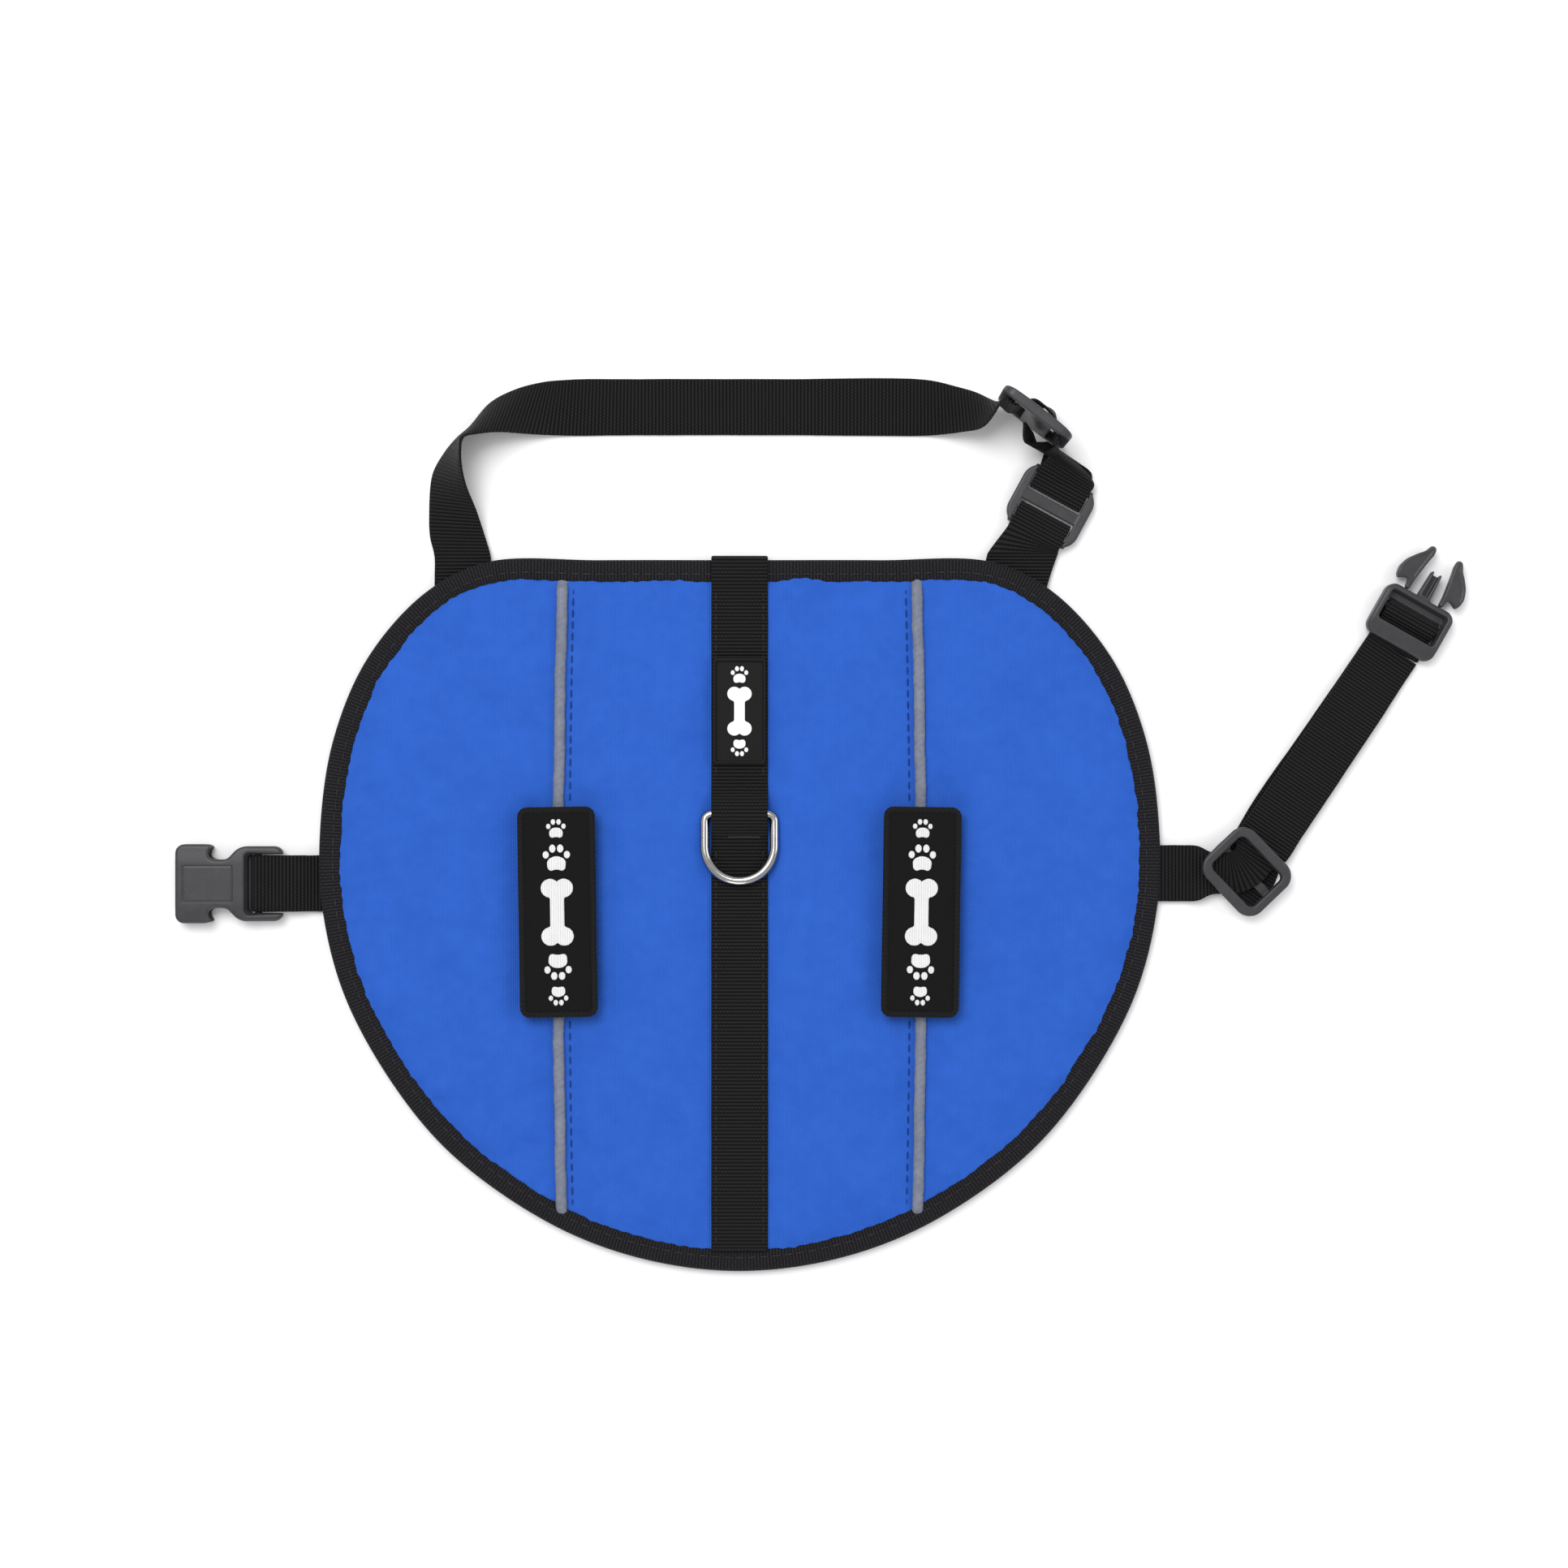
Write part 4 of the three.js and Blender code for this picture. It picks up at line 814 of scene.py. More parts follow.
def stitches(name, path, length, gap, radius, material, lean=0.0):
    """Stitches along a path, each a thread whose middle lies on the cloth and whose ends dip.

    A point of a stitch is at centre + t * length/2 along the path + radius * r(t) * (cos a, sin a)
    across it, with r(t) = sqrt(1 - t^4), and sinks by STITCH_SINK * t^2.
    """
    path = evenly(np.asarray(path, float), length + gap)
    centre = (path[1:] + path[:-1]) / 2
    up = upright(centre)
    ahead = unit(np.diff(path, axis=0))
    side = unit(np.cross(ahead, up))
    turned = unit(ahead + lean * side)
    side = unit(np.cross(turned, up))
    t = STITCH_T
    fat = np.maximum(np.sqrt(1 - t ** 4), 0.2)
    angle = np.arange(THREAD_SIDES) * 2 * math.pi / THREAD_SIDES
    along = (t * length / 2)[None, :, None, None] * turned[:, None, None]
    wide = (fat[:, None] * np.cos(angle))[None, ..., None] * side[:, None, None] * radius
    high = ((fat[:, None] * np.sin(angle))[None, ..., None] * radius
            + (radius * 0.3 - STITCH_SINK * (t ** 2)[:, None, None])[None]) * up[:, None, None]
    grid = centre[:, None, None] + along + wide + high
    one = quads(len(t), THREAD_SIDES, round_columns=True)[:, ::-1]
    turn = np.arange(THREAD_SIDES)
    caps = np.stack([turn, turn[::-1] + STITCH_POINTS - THREAD_SIDES])[:, ::-1]
    shift = (np.arange(len(centre)) * STITCH_POINTS)[:, None, None]
    faces = [(one + shift).reshape(-1, 4), (caps + shift).reshape(-1, THREAD_SIDES)]
    return seat(piece(name, grid.reshape(-1, 3), faces, material), "vest", "binding_tape")


inner = EDGE + TAPE_STITCH_IN * EDGE_IN
row = stitches("binding_stitches", settle(closed_up(inner), 6.2), 3.9, 1.6, 0.36, DARK_THREAD)
print("binding stitches:", len(row.data.vertices) // STITCH_POINTS)

# %% [markdown]
# ## Piping
# A strip of grey reflective cloth is folded round a filler cord and caught in each long seam.  The
# cloth puckers a little where it is stitched.  A row of blue topstitching runs on the spine side.

# %% Piping sleeves and cords
PIPE_R = 1.9                   # half its height
PIPE_SIDE = 2.5                # half its width
PIPE_Z = 6.3
CORE_R = 1.1
PIPE_SIDES = 20
CREASE_PITCH = 2.9
PIPE_LOW, PIPE_HIGH = -136.0, 152.5        # its ends, under the binding
PIPE_DIP, DIP_REACH = 2.8, 3.5 # how far an end sinks, and over what length


def round_section(radius, sides):
    """A circle as (across, up)."""
    angle = np.arange(sides) * 2 * math.pi / sides
    return radius * np.stack([np.cos(angle), np.sin(angle)], -1)


def seam_line(side, offset, height, step=2.0, low=PIPE_LOW, high=PIPE_HIGH):
    """A line that follows a piping seam at a distance from it, and dips at its ends."""
    y = np.linspace(low, high, int((high - low) / step) + 1)
    dip = bell(y, PIPE_LOW, DIP_REACH) + bell(y, PIPE_HIGH, DIP_REACH)
    return np.column_stack([side * (seam_x(y) + offset), y, height - PIPE_DIP * dip])


def frame_along(path):
    """Sideways and upward directions at each point of a path that lies flat."""
    ahead = unit(np.gradient(path, axis=0))
    return unit(np.cross(ahead, [0.0, 0.0, 1.0])), upright(path)


SIDES = ((-1, "left"), (1, "right"))
for side, word in SIDES:
    line = seam_line(side, 0, PIPE_Z, 1.0)
    s = lengths(line)
    line[:, 0] += 0.18 * wobble(s, 71 + side, 55.0)
    out, up = frame_along(line)
    creased = 1 + 0.05 * wobble(s, 81 + side, 12.0)
    circle = round_section(1.0, PIPE_SIDES)
    crease = 1 + 0.015 * np.sin(2 * math.pi * s[:, None] / CREASE_PITCH + 1.5 * circle[:, 1])
    oval = circle * [PIPE_SIDE, PIPE_R]
    section = oval[None] * (creased[:, None] * crease)[..., None]
    sleeve = sweep("piping_" + word, line, out, up, section, PIPING)
    seat(sleeve, "vest", "piping_cloth", "piping_sleeve_" + word)
    cord = sweep("piping_core_" + word, line, out, up, round_section(CORE_R, 12), CORD)
    seat(cord, "vest", "filler_cord", "piping_cord_" + word)
    welt = seam_line(side, 0, 4.9)
    out, up = frame_along(welt)
    band = np.array([(-3.0, -0.3), (3.0, -0.3), (2.6, 0.15), (0, 0.5), (-2.6, 0.15)])
    seat(sweep("piping_welt_" + word, welt, out, up, band, SHELL), "vest", "shell_cloth")
    for part, (low, high) in {"tail": (-132.0, -46.5), "head": (51.0, 149.0)}.items():
        row = seam_line(side, -5.0, 5.3, low=low, high=high)
        stitches(f"topstitching_{part}_{word}", row, 3.7, 1.6, 0.38, BLUE_THREAD)
    print("piping", word, round(s[-1]), "mm")

# %% [markdown]
# ## Spine webbing
# One length of webbing runs down the spine.  It wraps over the neck edge, and has a hump where it
# goes over the lead ring's bar.  It is sewn down both edges, with a bar tack below the ring.

# %% Spine webbing
SPINE_MID = 6.2
BIND_TOP = 6.2
RING_BAR_Y = 45.8
RING_Z = 7.6
WIRE_R = 2.1
HUMP_MID = RING_Z + WIRE_R + 0.3 + WEB / 2
WRAP_R = 0.3 + WEB / 2
CREASE_Y, CREASE_DEEP = 60.5, 0.5          # a cross crease below the label
TACK_Y = 36.6

hump_t = np.linspace(-1, 1, 25)
hump = np.column_stack([RING_BAR_Y + 11 * hump_t,
                        SPINE_MID + (HUMP_MID - SPINE_MID) * (1 - hump_t ** 2) ** 1.6])
turn = np.linspace(math.pi / 2, 0, 9)
over_edge = np.column_stack([HALF_L + WRAP_R * np.cos(turn), BIND_TOP + WRAP_R * np.sin(turn)])
spine_profile = np.concatenate([
    np.column_stack([np.linspace(-HALF_L + 9.4, RING_BAR_Y - 12, 80), np.full(80, SPINE_MID)]),
    hump,
    np.column_stack([np.linspace(RING_BAR_Y + 12, HALF_L - 16, 44), np.full(44, SPINE_MID)]),
    [(HALF_L - 12.5, SPINE_MID + 0.15), (HALF_L - 10, BIND_TOP + WRAP_R - 0.25),
     (HALF_L - 6, BIND_TOP + WRAP_R)],
    over_edge, [(HALF_L + WRAP_R, 4.0), (HALF_L + WRAP_R, 2.0)]])
spine_profile[:, 1] += 0.1 * wobble(spine_profile[:, 0], 91, 90.0)
spine_profile[:, 1] -= CREASE_DEEP * bell(spine_profile[:, 0], CREASE_Y, 1.6)
spine = straight_ribbon("spine_strap", spine_profile, (0.0, 0.0), 90, seed=92)
seat(spine, "vest", "webbing", "spine_webbing")
for word, x in (("left", -10.6), ("right", 10.6)):
    for part, (y0, y1) in {"tail": (-148.0, 30.0), "head": (63.0, 146.0)}.items():
        line = settle([(x, y0), (x, y1)], SPINE_MID + WEB / 2)
        stitches(f"spine_stitches_{part}_{word}", line, 3.3, 1.3, 0.25, DARK_THREAD)
tack = settle([(-5.6, TACK_Y), (8.6, TACK_Y)], SPINE_MID + WEB / 2)
stitches("bar_tack", tack, 3.4, -2.75, 0.32, GREY_THREAD, lean=2.2)
print("spine strap", round(lengths(spine_profile)[-1]), "mm")

# %% [markdown]
# ## Lead ring
# A nickel-plated D ring: round wire with a straight bar under the webbing and a bow that lies
# towards the tail.  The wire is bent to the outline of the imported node, worked out again here as
# one closed line of two corners, two legs and a half circle.

# %% Lead ring
RING_WIDTH, RING_DEPTH, RING_CORNER = 35.6, 34.2, 3.2


def corner(cx, cy, radius, start, end, count):
    """Points of an arc round a centre, by degrees."""
    a = np.radians(np.linspace(start, end, count))
    return np.stack([cx + radius * np.cos(a), cy + radius * np.sin(a)], -1)


ring_half = RING_WIDTH / 2 - WIRE_R
legs = RING_DEPTH - 2 * WIRE_R - ring_half
bend = ring_half - RING_CORNER
wire = np.concatenate([
    corner(bend, -RING_CORNER, RING_CORNER, 90, 0, 8), corner(0, -legs, ring_half, 0, -180, 48),
    corner(-bend, -RING_CORNER, RING_CORNER, 180, 90, 8)])
wire = evenly(closed_up(wire), 1.0)[:-1]
rise = SPINE_MID + WEB / 2 + 0.3 + WIRE_R - RING_Z
lean = math.asin((rise + 0.3) / (legs + ring_half - 2))
wire3 = np.column_stack([wire[:, 0], RING_BAR_Y + wire[:, 1] * math.cos(lean),
                         RING_Z - wire[:, 1] * math.sin(lean)])
ahead = ahead_round(wire3)
ring_up = np.broadcast_to([0.0, math.sin(lean), math.cos(lean)], wire3.shape)
lead_ring = sweep("lead_ring", wire3, np.cross(ahead, ring_up), ring_up, round_section(WIRE_R, 20),
                  NICKEL, closed=True)
seat(lead_ring, "lead_ring", "ring_metal", "d_ring")
print("ring wire", round(lengths(wire3)[-1]), "mm long")

# %% [markdown]
# ## Moulded pieces
# Buckles, sliders, emblems and embroidery have rounded edges and soft joins everywhere.  Each is
# written as a field: a function that gives the distance of a point from the surface, negative
# inside.  Fields are joined by the smaller distance and cut by the larger.  A net of quads is then
# laid where the field is zero.


# %% Fields
def rounded(a, b, radius):
    """Where two distances meet, a rounded edge: the corner distance of both, less the radius."""
    a, b = a + radius, b + radius
    return (np.minimum(np.maximum(a, b), 0)
            + np.sqrt(np.maximum(a, 0) ** 2 + np.maximum(b, 0) ** 2) - radius)


def slab_of(flat, z, low, high, radius):
    """A flat shape's distance, raised from low to high with rounded edges."""
    return rounded(flat, np.abs(z - (low + high) / 2) - (high - low) / 2, radius)


def joined(a, b, soft=0.01):
    """The union of two fields, with a fillet of about that size."""
    h = np.clip(0.5 + 0.5 * (b - a) / soft, 0, 1)
    return b * (1 - h) + a * h - soft * h * (1 - h)


def without(a, b, soft=0.01):
    """The first field with the second cut out of it, with a rounded edge of about that size."""
    return -joined(-a, b, soft)


def rectangle(x, y, cx, cy, hx, hy, radius=0.0):
    """Distance from a flat rectangle with round corners."""
    return rounded(np.abs(x - cx) - hx, np.abs(y - cy) - hy, radius)


def rising(value, low, high):
    """0 below low, 1 above high, and a smooth S between."""
    t = np.clip((value - low) / (high - low), 0, 1)
    return t * t * (3 - 2 * t)


CORNER_POINTS = 5


def soft_outline(corners, radius):
    """A polygon whose corners are rounded: each is replaced by a parabola between its edges."""
    p = np.asarray(corners, float)
    back, ahead = np.roll(p, 1, 0) - p, np.roll(p, -1, 0) - p
    reach_back = np.minimum(radius, np.linalg.norm(back, axis=1) * 0.45)[:, None]
    reach_ahead = np.minimum(radius, np.linalg.norm(ahead, axis=1) * 0.45)[:, None]
    a, b = p + unit(back) * reach_back, p + unit(ahead) * reach_ahead
    t = np.linspace(0, 1, CORNER_POINTS)[None, :, None]
    return (a[:, None] * (1 - t) ** 2 + p[:, None] * 2 * t * (1 - t) + b[:, None] * t * t
            ).reshape(-1, 2)


def polygon(x, y, corners):
    """Distance from a polygon's edge, negative inside: the least distance from any of its sides,
    with a sign that flips at every side crossed."""
    x, y = np.broadcast_arrays(x, y)
    best = np.full(x.shape, 1e9)
    sign = np.ones(x.shape)
    for (ax, ay), (bx, by) in zip(corners, np.roll(corners, -1, 0)):
        ex, ey = bx - ax, by - ay
        wx, wy = x - ax, y - ay
        t = np.clip((wx * ex + wy * ey) / max(ex * ex + ey * ey, 1e-12), 0, 1)
        best = np.minimum(best, (wx - ex * t) ** 2 + (wy - ey * t) ** 2)
        above, below = ay <= y, by > y
        turn = ex * wy > ey * wx
        crossed = (above & below & turn) | (~above & ~below & ~turn)
        sign = np.where(crossed, -sign, sign)
    return sign * np.sqrt(best)


print("field tools ready")


# %% Lay a net over a field
def net(field, low, high, cell):
    """Points and quads where a field is zero.

    In each cell of a grid that the surface crosses, one point is put at the mean of the
    crossings on its edges.  Four neighbouring cells round a crossed edge make a quad.  Three
    steps along the field's slope then bring each point onto the surface.
    """
    low = np.asarray(low, float) - 2 * cell
    count = np.ceil((np.asarray(high, float) - low) / cell).astype(int) + 3
    axes = [low[k] + cell * np.arange(count[k]) for k in range(3)]
    value = field(axes[0][:, None, None], axes[1][None, :, None], axes[2][None, None, :])
    value = np.broadcast_to(value, count)
    total = np.zeros((*(count - 1), 3))
    hits = np.zeros(count - 1)
    crossings = []
    for axis in range(3):
        u, w = (axis + 1) % 3, (axis + 2) % 3
        v = np.moveaxis(value, (axis, u, w), (0, 1, 2))
        a, b = v[:-1], v[1:]
        crossed = (a < 0) != (b < 0)
        crossings.append((axis, crossed, a < 0))
        spot = np.moveaxis(total, (axis, u, w), (0, 1, 2))
        number = np.moveaxis(hits, (axis, u, w), (0, 1, 2))
        share = np.where(crossed, a / np.where(crossed, a - b, 1), 0)
        at = np.zeros((*crossed.shape, 3))
        at[..., axis] = axes[axis][:-1, None, None] + share * cell
        at[..., u] = axes[u][None, :, None]
        at[..., w] = axes[w][None, None, :]
        at *= crossed[..., None]
        for du in (0, 1):
            for dw in (0, 1):
                part = (slice(None), slice(du, crossed.shape[1] - 1 + du),
                        slice(dw, crossed.shape[2] - 1 + dw))
                spot += at[part]
                number += crossed[part]
    active = hits > 0
    index = np.full(hits.shape, -1)
    index[active] = np.arange(active.sum())
    points = total[active] / hits[active][:, None]
    faces = []
    for axis, crossed, first_inside in crossings:
        u, w = (axis + 1) % 3, (axis + 2) % 3
        cells = np.moveaxis(index, (axis, u, w), (0, 1, 2))
        i, j, k = np.nonzero(crossed[:, 1:-1, 1:-1])
        j, k = j + 1, k + 1
        four = np.stack([cells[i, j - 1, k - 1], cells[i, j, k - 1], cells[i, j, k],
                         cells[i, j - 1, k]], -1)
        inward = ~first_inside[i, j, k]
        four[inward] = four[inward][:, ::-1]
        faces.append(four)
    for _ in range(3):
        x, y, z = points.T
        here = field(x, y, z)
        e = cell * 0.2
        slope = np.stack([field(x + e, y, z) - field(x - e, y, z),
                          field(x, y + e, z) - field(x, y - e, z),
                          field(x, y, z + e) - field(x, y, z - e)], -1) / (2 * e)
        steep = np.maximum((slope ** 2).sum(1), 0.25)
        move = -(here / steep)[:, None] * slope
        far = np.maximum(np.linalg.norm(move, axis=1, keepdims=True) / (0.4 * cell), 1)
        points = points + move / far
    return points, np.concatenate(faces)


def moulded(name, field, low, high, cell, material, place=(0, 0, 0), degrees=0.0):
    """A piece laid over a field in the piece's own frame, then turned and put in its place."""
    points, faces = net(field, low, high, cell)
    made = piece(name, rotated(points, degrees) + np.asarray(place, float), [faces], material)
    print(name, len(faces), "quads")
    return made


# %% [markdown]
# ## Bones and paws
# The raised marks are plain ones: a dog's bone between paw prints.  The same flat shapes serve the
# rubber label and the embroidered patches.


# %% Flat bone and paw
def bone(x, y, length, width):
    """A bone along Y: a bar with two round knobs at each end."""
    knob = width * 0.29
    bar = rectangle(x, y, 0, 0, width * 0.22, length / 2 - knob)
    knobs = np.hypot(np.abs(x) - (width / 2 - knob), np.abs(y) - (length / 2 - knob)) - knob
    return joined(bar, knobs, 1.0)


def paw(x, y, size, hand=1):
    """A paw print whose toes point along +Y or -Y: a wide pad and four round toes."""
    y = y * hand
    heel = np.hypot(x / 1.25, (y + size * 0.16) * 1.12) - size * 0.27
    shape = joined(heel, np.hypot(np.abs(x) - size * 0.19, y + size * 0.30) - size * 0.13, 0.8)
    inner = np.hypot((np.abs(x) - size * 0.14) * 1.25, y - size * 0.36) - size * 0.145
    outer = np.hypot((np.abs(x) - size * 0.38) * 1.2, y - size * 0.14) - size * 0.135
    return np.minimum(shape, np.minimum(inner, outer))


print("bone and paw ready")

# %% Label and its emblem
LABEL_Y, LABEL_HALF = 92.1, (12.0, 23.9)
LABEL_LOW, LABEL_TOP, LABEL_RIM = 7.2, 9.0, 1.5


def label_plate(x, y, z):
    """A plate with a raised rim: a rounded slab less a shallow rounded well."""
    plate = slab_of(rectangle(x, y, 0, 0, *LABEL_HALF, 1.4), z, LABEL_LOW, LABEL_TOP, 0.35)
    well = rectangle(x, y, 0, 0, LABEL_HALF[0] - LABEL_RIM, LABEL_HALF[1] - LABEL_RIM, 0.7)
    return without(plate, slab_of(well, z, LABEL_TOP - 0.8, LABEL_TOP + 3, 0.2), 0.25)


def label_emblem(x, y, z):
    """A bone with a small paw at each end, standing in the well."""
    marks = np.minimum(bone(x, y, 22.0, 11.0),
                       np.minimum(paw(x, y - 16.2, 8.0), paw(x, y + 16.2, 8.0, -1)))
    return slab_of(marks, z, LABEL_TOP - 0.7, LABEL_TOP + 0.15, 0.22)


seat(moulded("label", label_plate, (-12, -23.9, LABEL_LOW), (12, 23.9, LABEL_TOP), 0.4, RUBBER,
             (0, LABEL_Y, 0)), "vest", "label_rubber", "label_plate")
seat(moulded("emblem", label_emblem, (-6, -21, LABEL_TOP - 1), (6, 21, LABEL_TOP + 0.3), 0.28,
             EMBLEM, (0, LABEL_Y, 0)), "vest", "emblem_white", "label_emblem")

# %% [markdown]
# ## Hook-and-loop patches
# Each patch is a twill field with a thick overlocked border and white embroidery.  Hook tape on its
# back grips a loop pad that is sewn over the piping seam.

# %% Patch layers
PATCH_HALF = (17.25, 47.0)
PATCH_AT = (81.5, 2.0)
PATCH_TILT = 0.9
BASE_LOW, BASE_TOP, HOOK_TOP = 5.5, 9.6, 11.2
FACE_LOW, FACE_TOP, BORDER_TOP = 11.5, 12.9, 13.5


def patch_flat(x, y, inset, radius):
    """A patch's outline moved inwards."""
    return rectangle(x, y, 0, 0, PATCH_HALF[0] - inset, PATCH_HALF[1] - inset, radius)


def loop_pad(x, y, z):
    """The loop pad, whose underside is hollowed along the piping under it."""
    pad_shape = slab_of(patch_flat(x, y, 1.2, 2.0), z, BASE_LOW, BASE_TOP, 0.5)
    channel = np.hypot(x * PIPE_R / PIPE_SIDE, z - PIPE_Z) - PIPE_R - 0.45
    return without(pad_shape, channel + 0 * y, 0.2)


def hook_backing(x, y, z):
    """The hook tape on a patch's back."""
    return slab_of(patch_flat(x, y, 1.6, 2.0), z, BASE_TOP + 0.3, HOOK_TOP, 0.4)


def pillow(x):
    """How much higher the twill lies towards the patch's middle line."""
    return 0.25 * np.clip(1 - (x / 14) ** 2, 0, 1)


def patch_face(x, y, z):
    """Twill cloth with a slight pillow in the middle."""
    return slab_of(patch_flat(x, y, 2.3, 1.0), z - pillow(x), FACE_LOW, FACE_TOP, 0.3)


def patch_marks(x, y, z):
    """A bone between four paw prints, in satin stitch: domed and ridged across."""
    marks = bone(x, y, 30.0, 14.5)
    for centre, size in ((24.0, 12.5), (37.2, 9.0)):
        for hand in (1, -1):
            marks = np.minimum(marks, paw(x, y - hand * centre, size, hand))
    ridge = 0.05 * np.sin(2 * math.pi * y / 0.9)
    return slab_of(marks + ridge, z - pillow(x), FACE_TOP - 0.2, FACE_TOP + 0.75, 0.4)


BORDER_X, BORDER_Y, BORDER_CORNER = 13.1, 42.85, 2.9       # centres and radius of its corners
BORDER_STEP = 0.45
BEAD_PITCH = 1.35
border_line = evenly(np.concatenate([
    corner(BORDER_X, BORDER_Y, BORDER_CORNER, 0, 90, 7),
    corner(-BORDER_X, BORDER_Y, BORDER_CORNER, 90, 180, 7),
    corner(-BORDER_X, -BORDER_Y, BORDER_CORNER, 180, 270, 7),
    corner(BORDER_X, -BORDER_Y, BORDER_CORNER, 270, 360, 7),
    [(BORDER_X + BORDER_CORNER, BORDER_Y)]]), BORDER_STEP)[:-1]
border_ahead = ahead_round(border_line)
border_out = np.column_stack([border_ahead[:, 1], -border_ahead[:, 0]])
bead = 1 + 0.07 * np.sin(2 * math.pi * np.arange(len(border_line)) * BORDER_STEP / BEAD_PITCH)
LAYERS = [                     # piece, node, slot, field, half size, low, high, cell, finish
    ("loop_pad", "loop_base", "loop_tape", loop_pad, PATCH_HALF, BASE_LOW, BASE_TOP, 0.7, LOOP),
    ("hook_backing", "patch_hook", "hook_tape", hook_backing, PATCH_HALF, BASE_TOP, HOOK_TOP, 0.6,
     HOOK),
    ("patch_field", "patch_face", "patch_twill", patch_face, PATCH_HALF, FACE_LOW, FACE_TOP + 0.4,
     0.6, TWILL),
    ("patch_embroidery", "patch_bone", "white_thread", patch_marks, (8, 43), FACE_TOP - 0.4,
     FACE_TOP + 1.2, 0.33, WHITE)]
for side, word in SIDES:
    body = "patch_" + word
    at = np.array([side * PATCH_AT[0], PATCH_AT[1]])
    tilt = -side * PATCH_TILT
    for label, node, slot, field, (w, l), low, high, cell, material in LAYERS:
        layer = moulded(f"{label}_{word}", field, (-w, -l, low), (w, l, high), cell, material,
                        (*at, 0), tilt)
        seat(layer, "vest" if node == "loop_base" else body, slot, f"{node}_{word}")
    line = settle(rotated(border_line, tilt) + at, (FACE_LOW + BORDER_TOP) / 2)
    oval = round_section(1.0, 14) * [1.45, 1.15]
    seat(sweep("patch_edge_" + word, line, settle(rotated(border_out, tilt), 0), upright(line),
               oval[None] * bead[:, None, None], BORDER, closed=True),
         body, "patch_thread", "patch_border_" + word)

# %% [markdown]
# ## Buckle, sliders and ring
# All the hardware is moulded acetal for 25 mm webbing.  Each half of the buckle has a bar for its
# webbing.  The plug's two arms spring inwards and catch in the socket's side ports.

# %% Buckle socket
LOOP_Z = 3.5                   # height of a bar held in a loop of webbing
BAR_R = 1.5
WINDOW = 13.8                  # half the width of any strap window
SOCKET_AT = (-207.75, 14.5)
SOCKET_LOW, SOCKET_TOP = 0.6, 9.6
SOCKET_BAR = 9.5               # the bar's place in the strap window
socket_side = [
    (-2.0, 15.0), (0.5, 16.9), (15.5, 16.9), (18.5, 15.6), (22.4, 11.4), (24.5, 10.9),
    (28.9, 10.9), (31.0, 12.4), (30.6, 14.8), (29.2, 16.6), (31.4, 17.8), (43.6, 17.8),
    (46.0, 15.6)]
SOCKET_EDGE = soft_outline(socket_side + [(x, -y) for x, y in socket_side[::-1]], 1.6)


def bar_along_y(x, y, z, at, radius):
    """A round rod across the strap window."""
    return rounded(np.hypot(x - at, z - LOOP_Z) - radius, np.abs(y) - WINDOW - 0.8, 0.1)


def socket(x, y, z):
    """A rounded slab that thins towards the strap, less its window, mouth, side ports and a
    grooved field on both faces, plus the bar, and a low plate at the window's end that stands in
    for the shade inside the buckle: painted shade."""
    flat = polygon(x, y, SOCKET_EDGE)
    middle = (SOCKET_LOW + SOCKET_TOP) / 2
    up = z - middle
    thin = 1.5 * (1 - rising(x, 0, 19)) + 0.5 * rising(np.abs(y), 9, 18)
    body = rounded(flat, np.abs(up + 0 * x) + thin - (SOCKET_TOP - SOCKET_LOW) / 2, 1.5)
    widen = 0.9 * rising(up, 0.5, 4.2)
    window = rectangle(x, y, 3.6, 0, 10.4 + widen, 13.3 + widen, 2.2)
    body = without(body, window, 0.7)
    inside = np.abs(up) - 2.6
    mouth = np.maximum(rectangle(x, y, 40, 0, 12.5, 14.9, 1.0), inside)
    throat = np.maximum(rectangle(x, y, 25, 0, 7, 7.5, 1.0), inside)
    ports = np.maximum(rectangle(x, np.abs(y), 29.6, 16.5, 2.9, 6.0, 0.8), inside)
    for hole in (mouth, throat, ports):
        body = without(body, hole, 0.5)
    field_shape = rectangle(x, y, 31.4, 0, 11.0, 8.0, 0.5)
    depth = (SOCKET_TOP - SOCKET_LOW) / 2 - np.abs(up)
    groove = np.maximum(np.abs(field_shape) - 0.28, depth - 0.45)
    body = without(body, groove, 0.15)
    body = without(body, np.maximum(field_shape, depth - 0.22), 0.12)
    # A low plate past the webbing loop keeps the window dark there: painted shade, a dark piece
    # where the shade inside the buckle falls.
    shade_plate = slab_of(rectangle(x, y, 14.6, 0, 1.7, 13.4, 0.3), z, SOCKET_LOW, 3.0, 0.2)
    bar = bar_along_y(x, y, z, SOCKET_BAR, BAR_R)
    return joined(joined(body, shade_plate, 0.3), bar, 0.5)


seat(moulded("socket_shell", socket, (-2, -17.9, SOCKET_LOW), (46, 17.9, SOCKET_TOP), 0.42, PLASTIC,
             (*SOCKET_AT, 0), 180), "socket", "acetal", "buckle_socket")

# %% Buckle plug and its arms
GIRTH_Y, HEADING_DEG, GIRTH_RUN = 19.1, 56.3, 121.9
CORNER_X = HALF_W + 1.4 + 36.6             # where the belt's two straight runs would meet
HEADING = math.radians(HEADING_DEG)
AHEAD = heading(HEADING_DEG)
SIDE = np.array([-AHEAD[1], AHEAD[0]])
PLUG_DEG = 60.5
PLUG_LOW, PLUG_TOP = 0.8, 8.3
PLUG_BAR_X = 15.0
ARM_LOW, ARM_TOP = 2.7, 7.1


def along_run(s, t=0.0):
    """A point s along the long belt run from its corner, and t to its left."""
    return np.array([CORNER_X, GIRTH_Y]) + s * AHEAD + t * SIDE


PLUG_AT = along_run(GIRTH_RUN) + 0.9 * heading(PLUG_DEG)


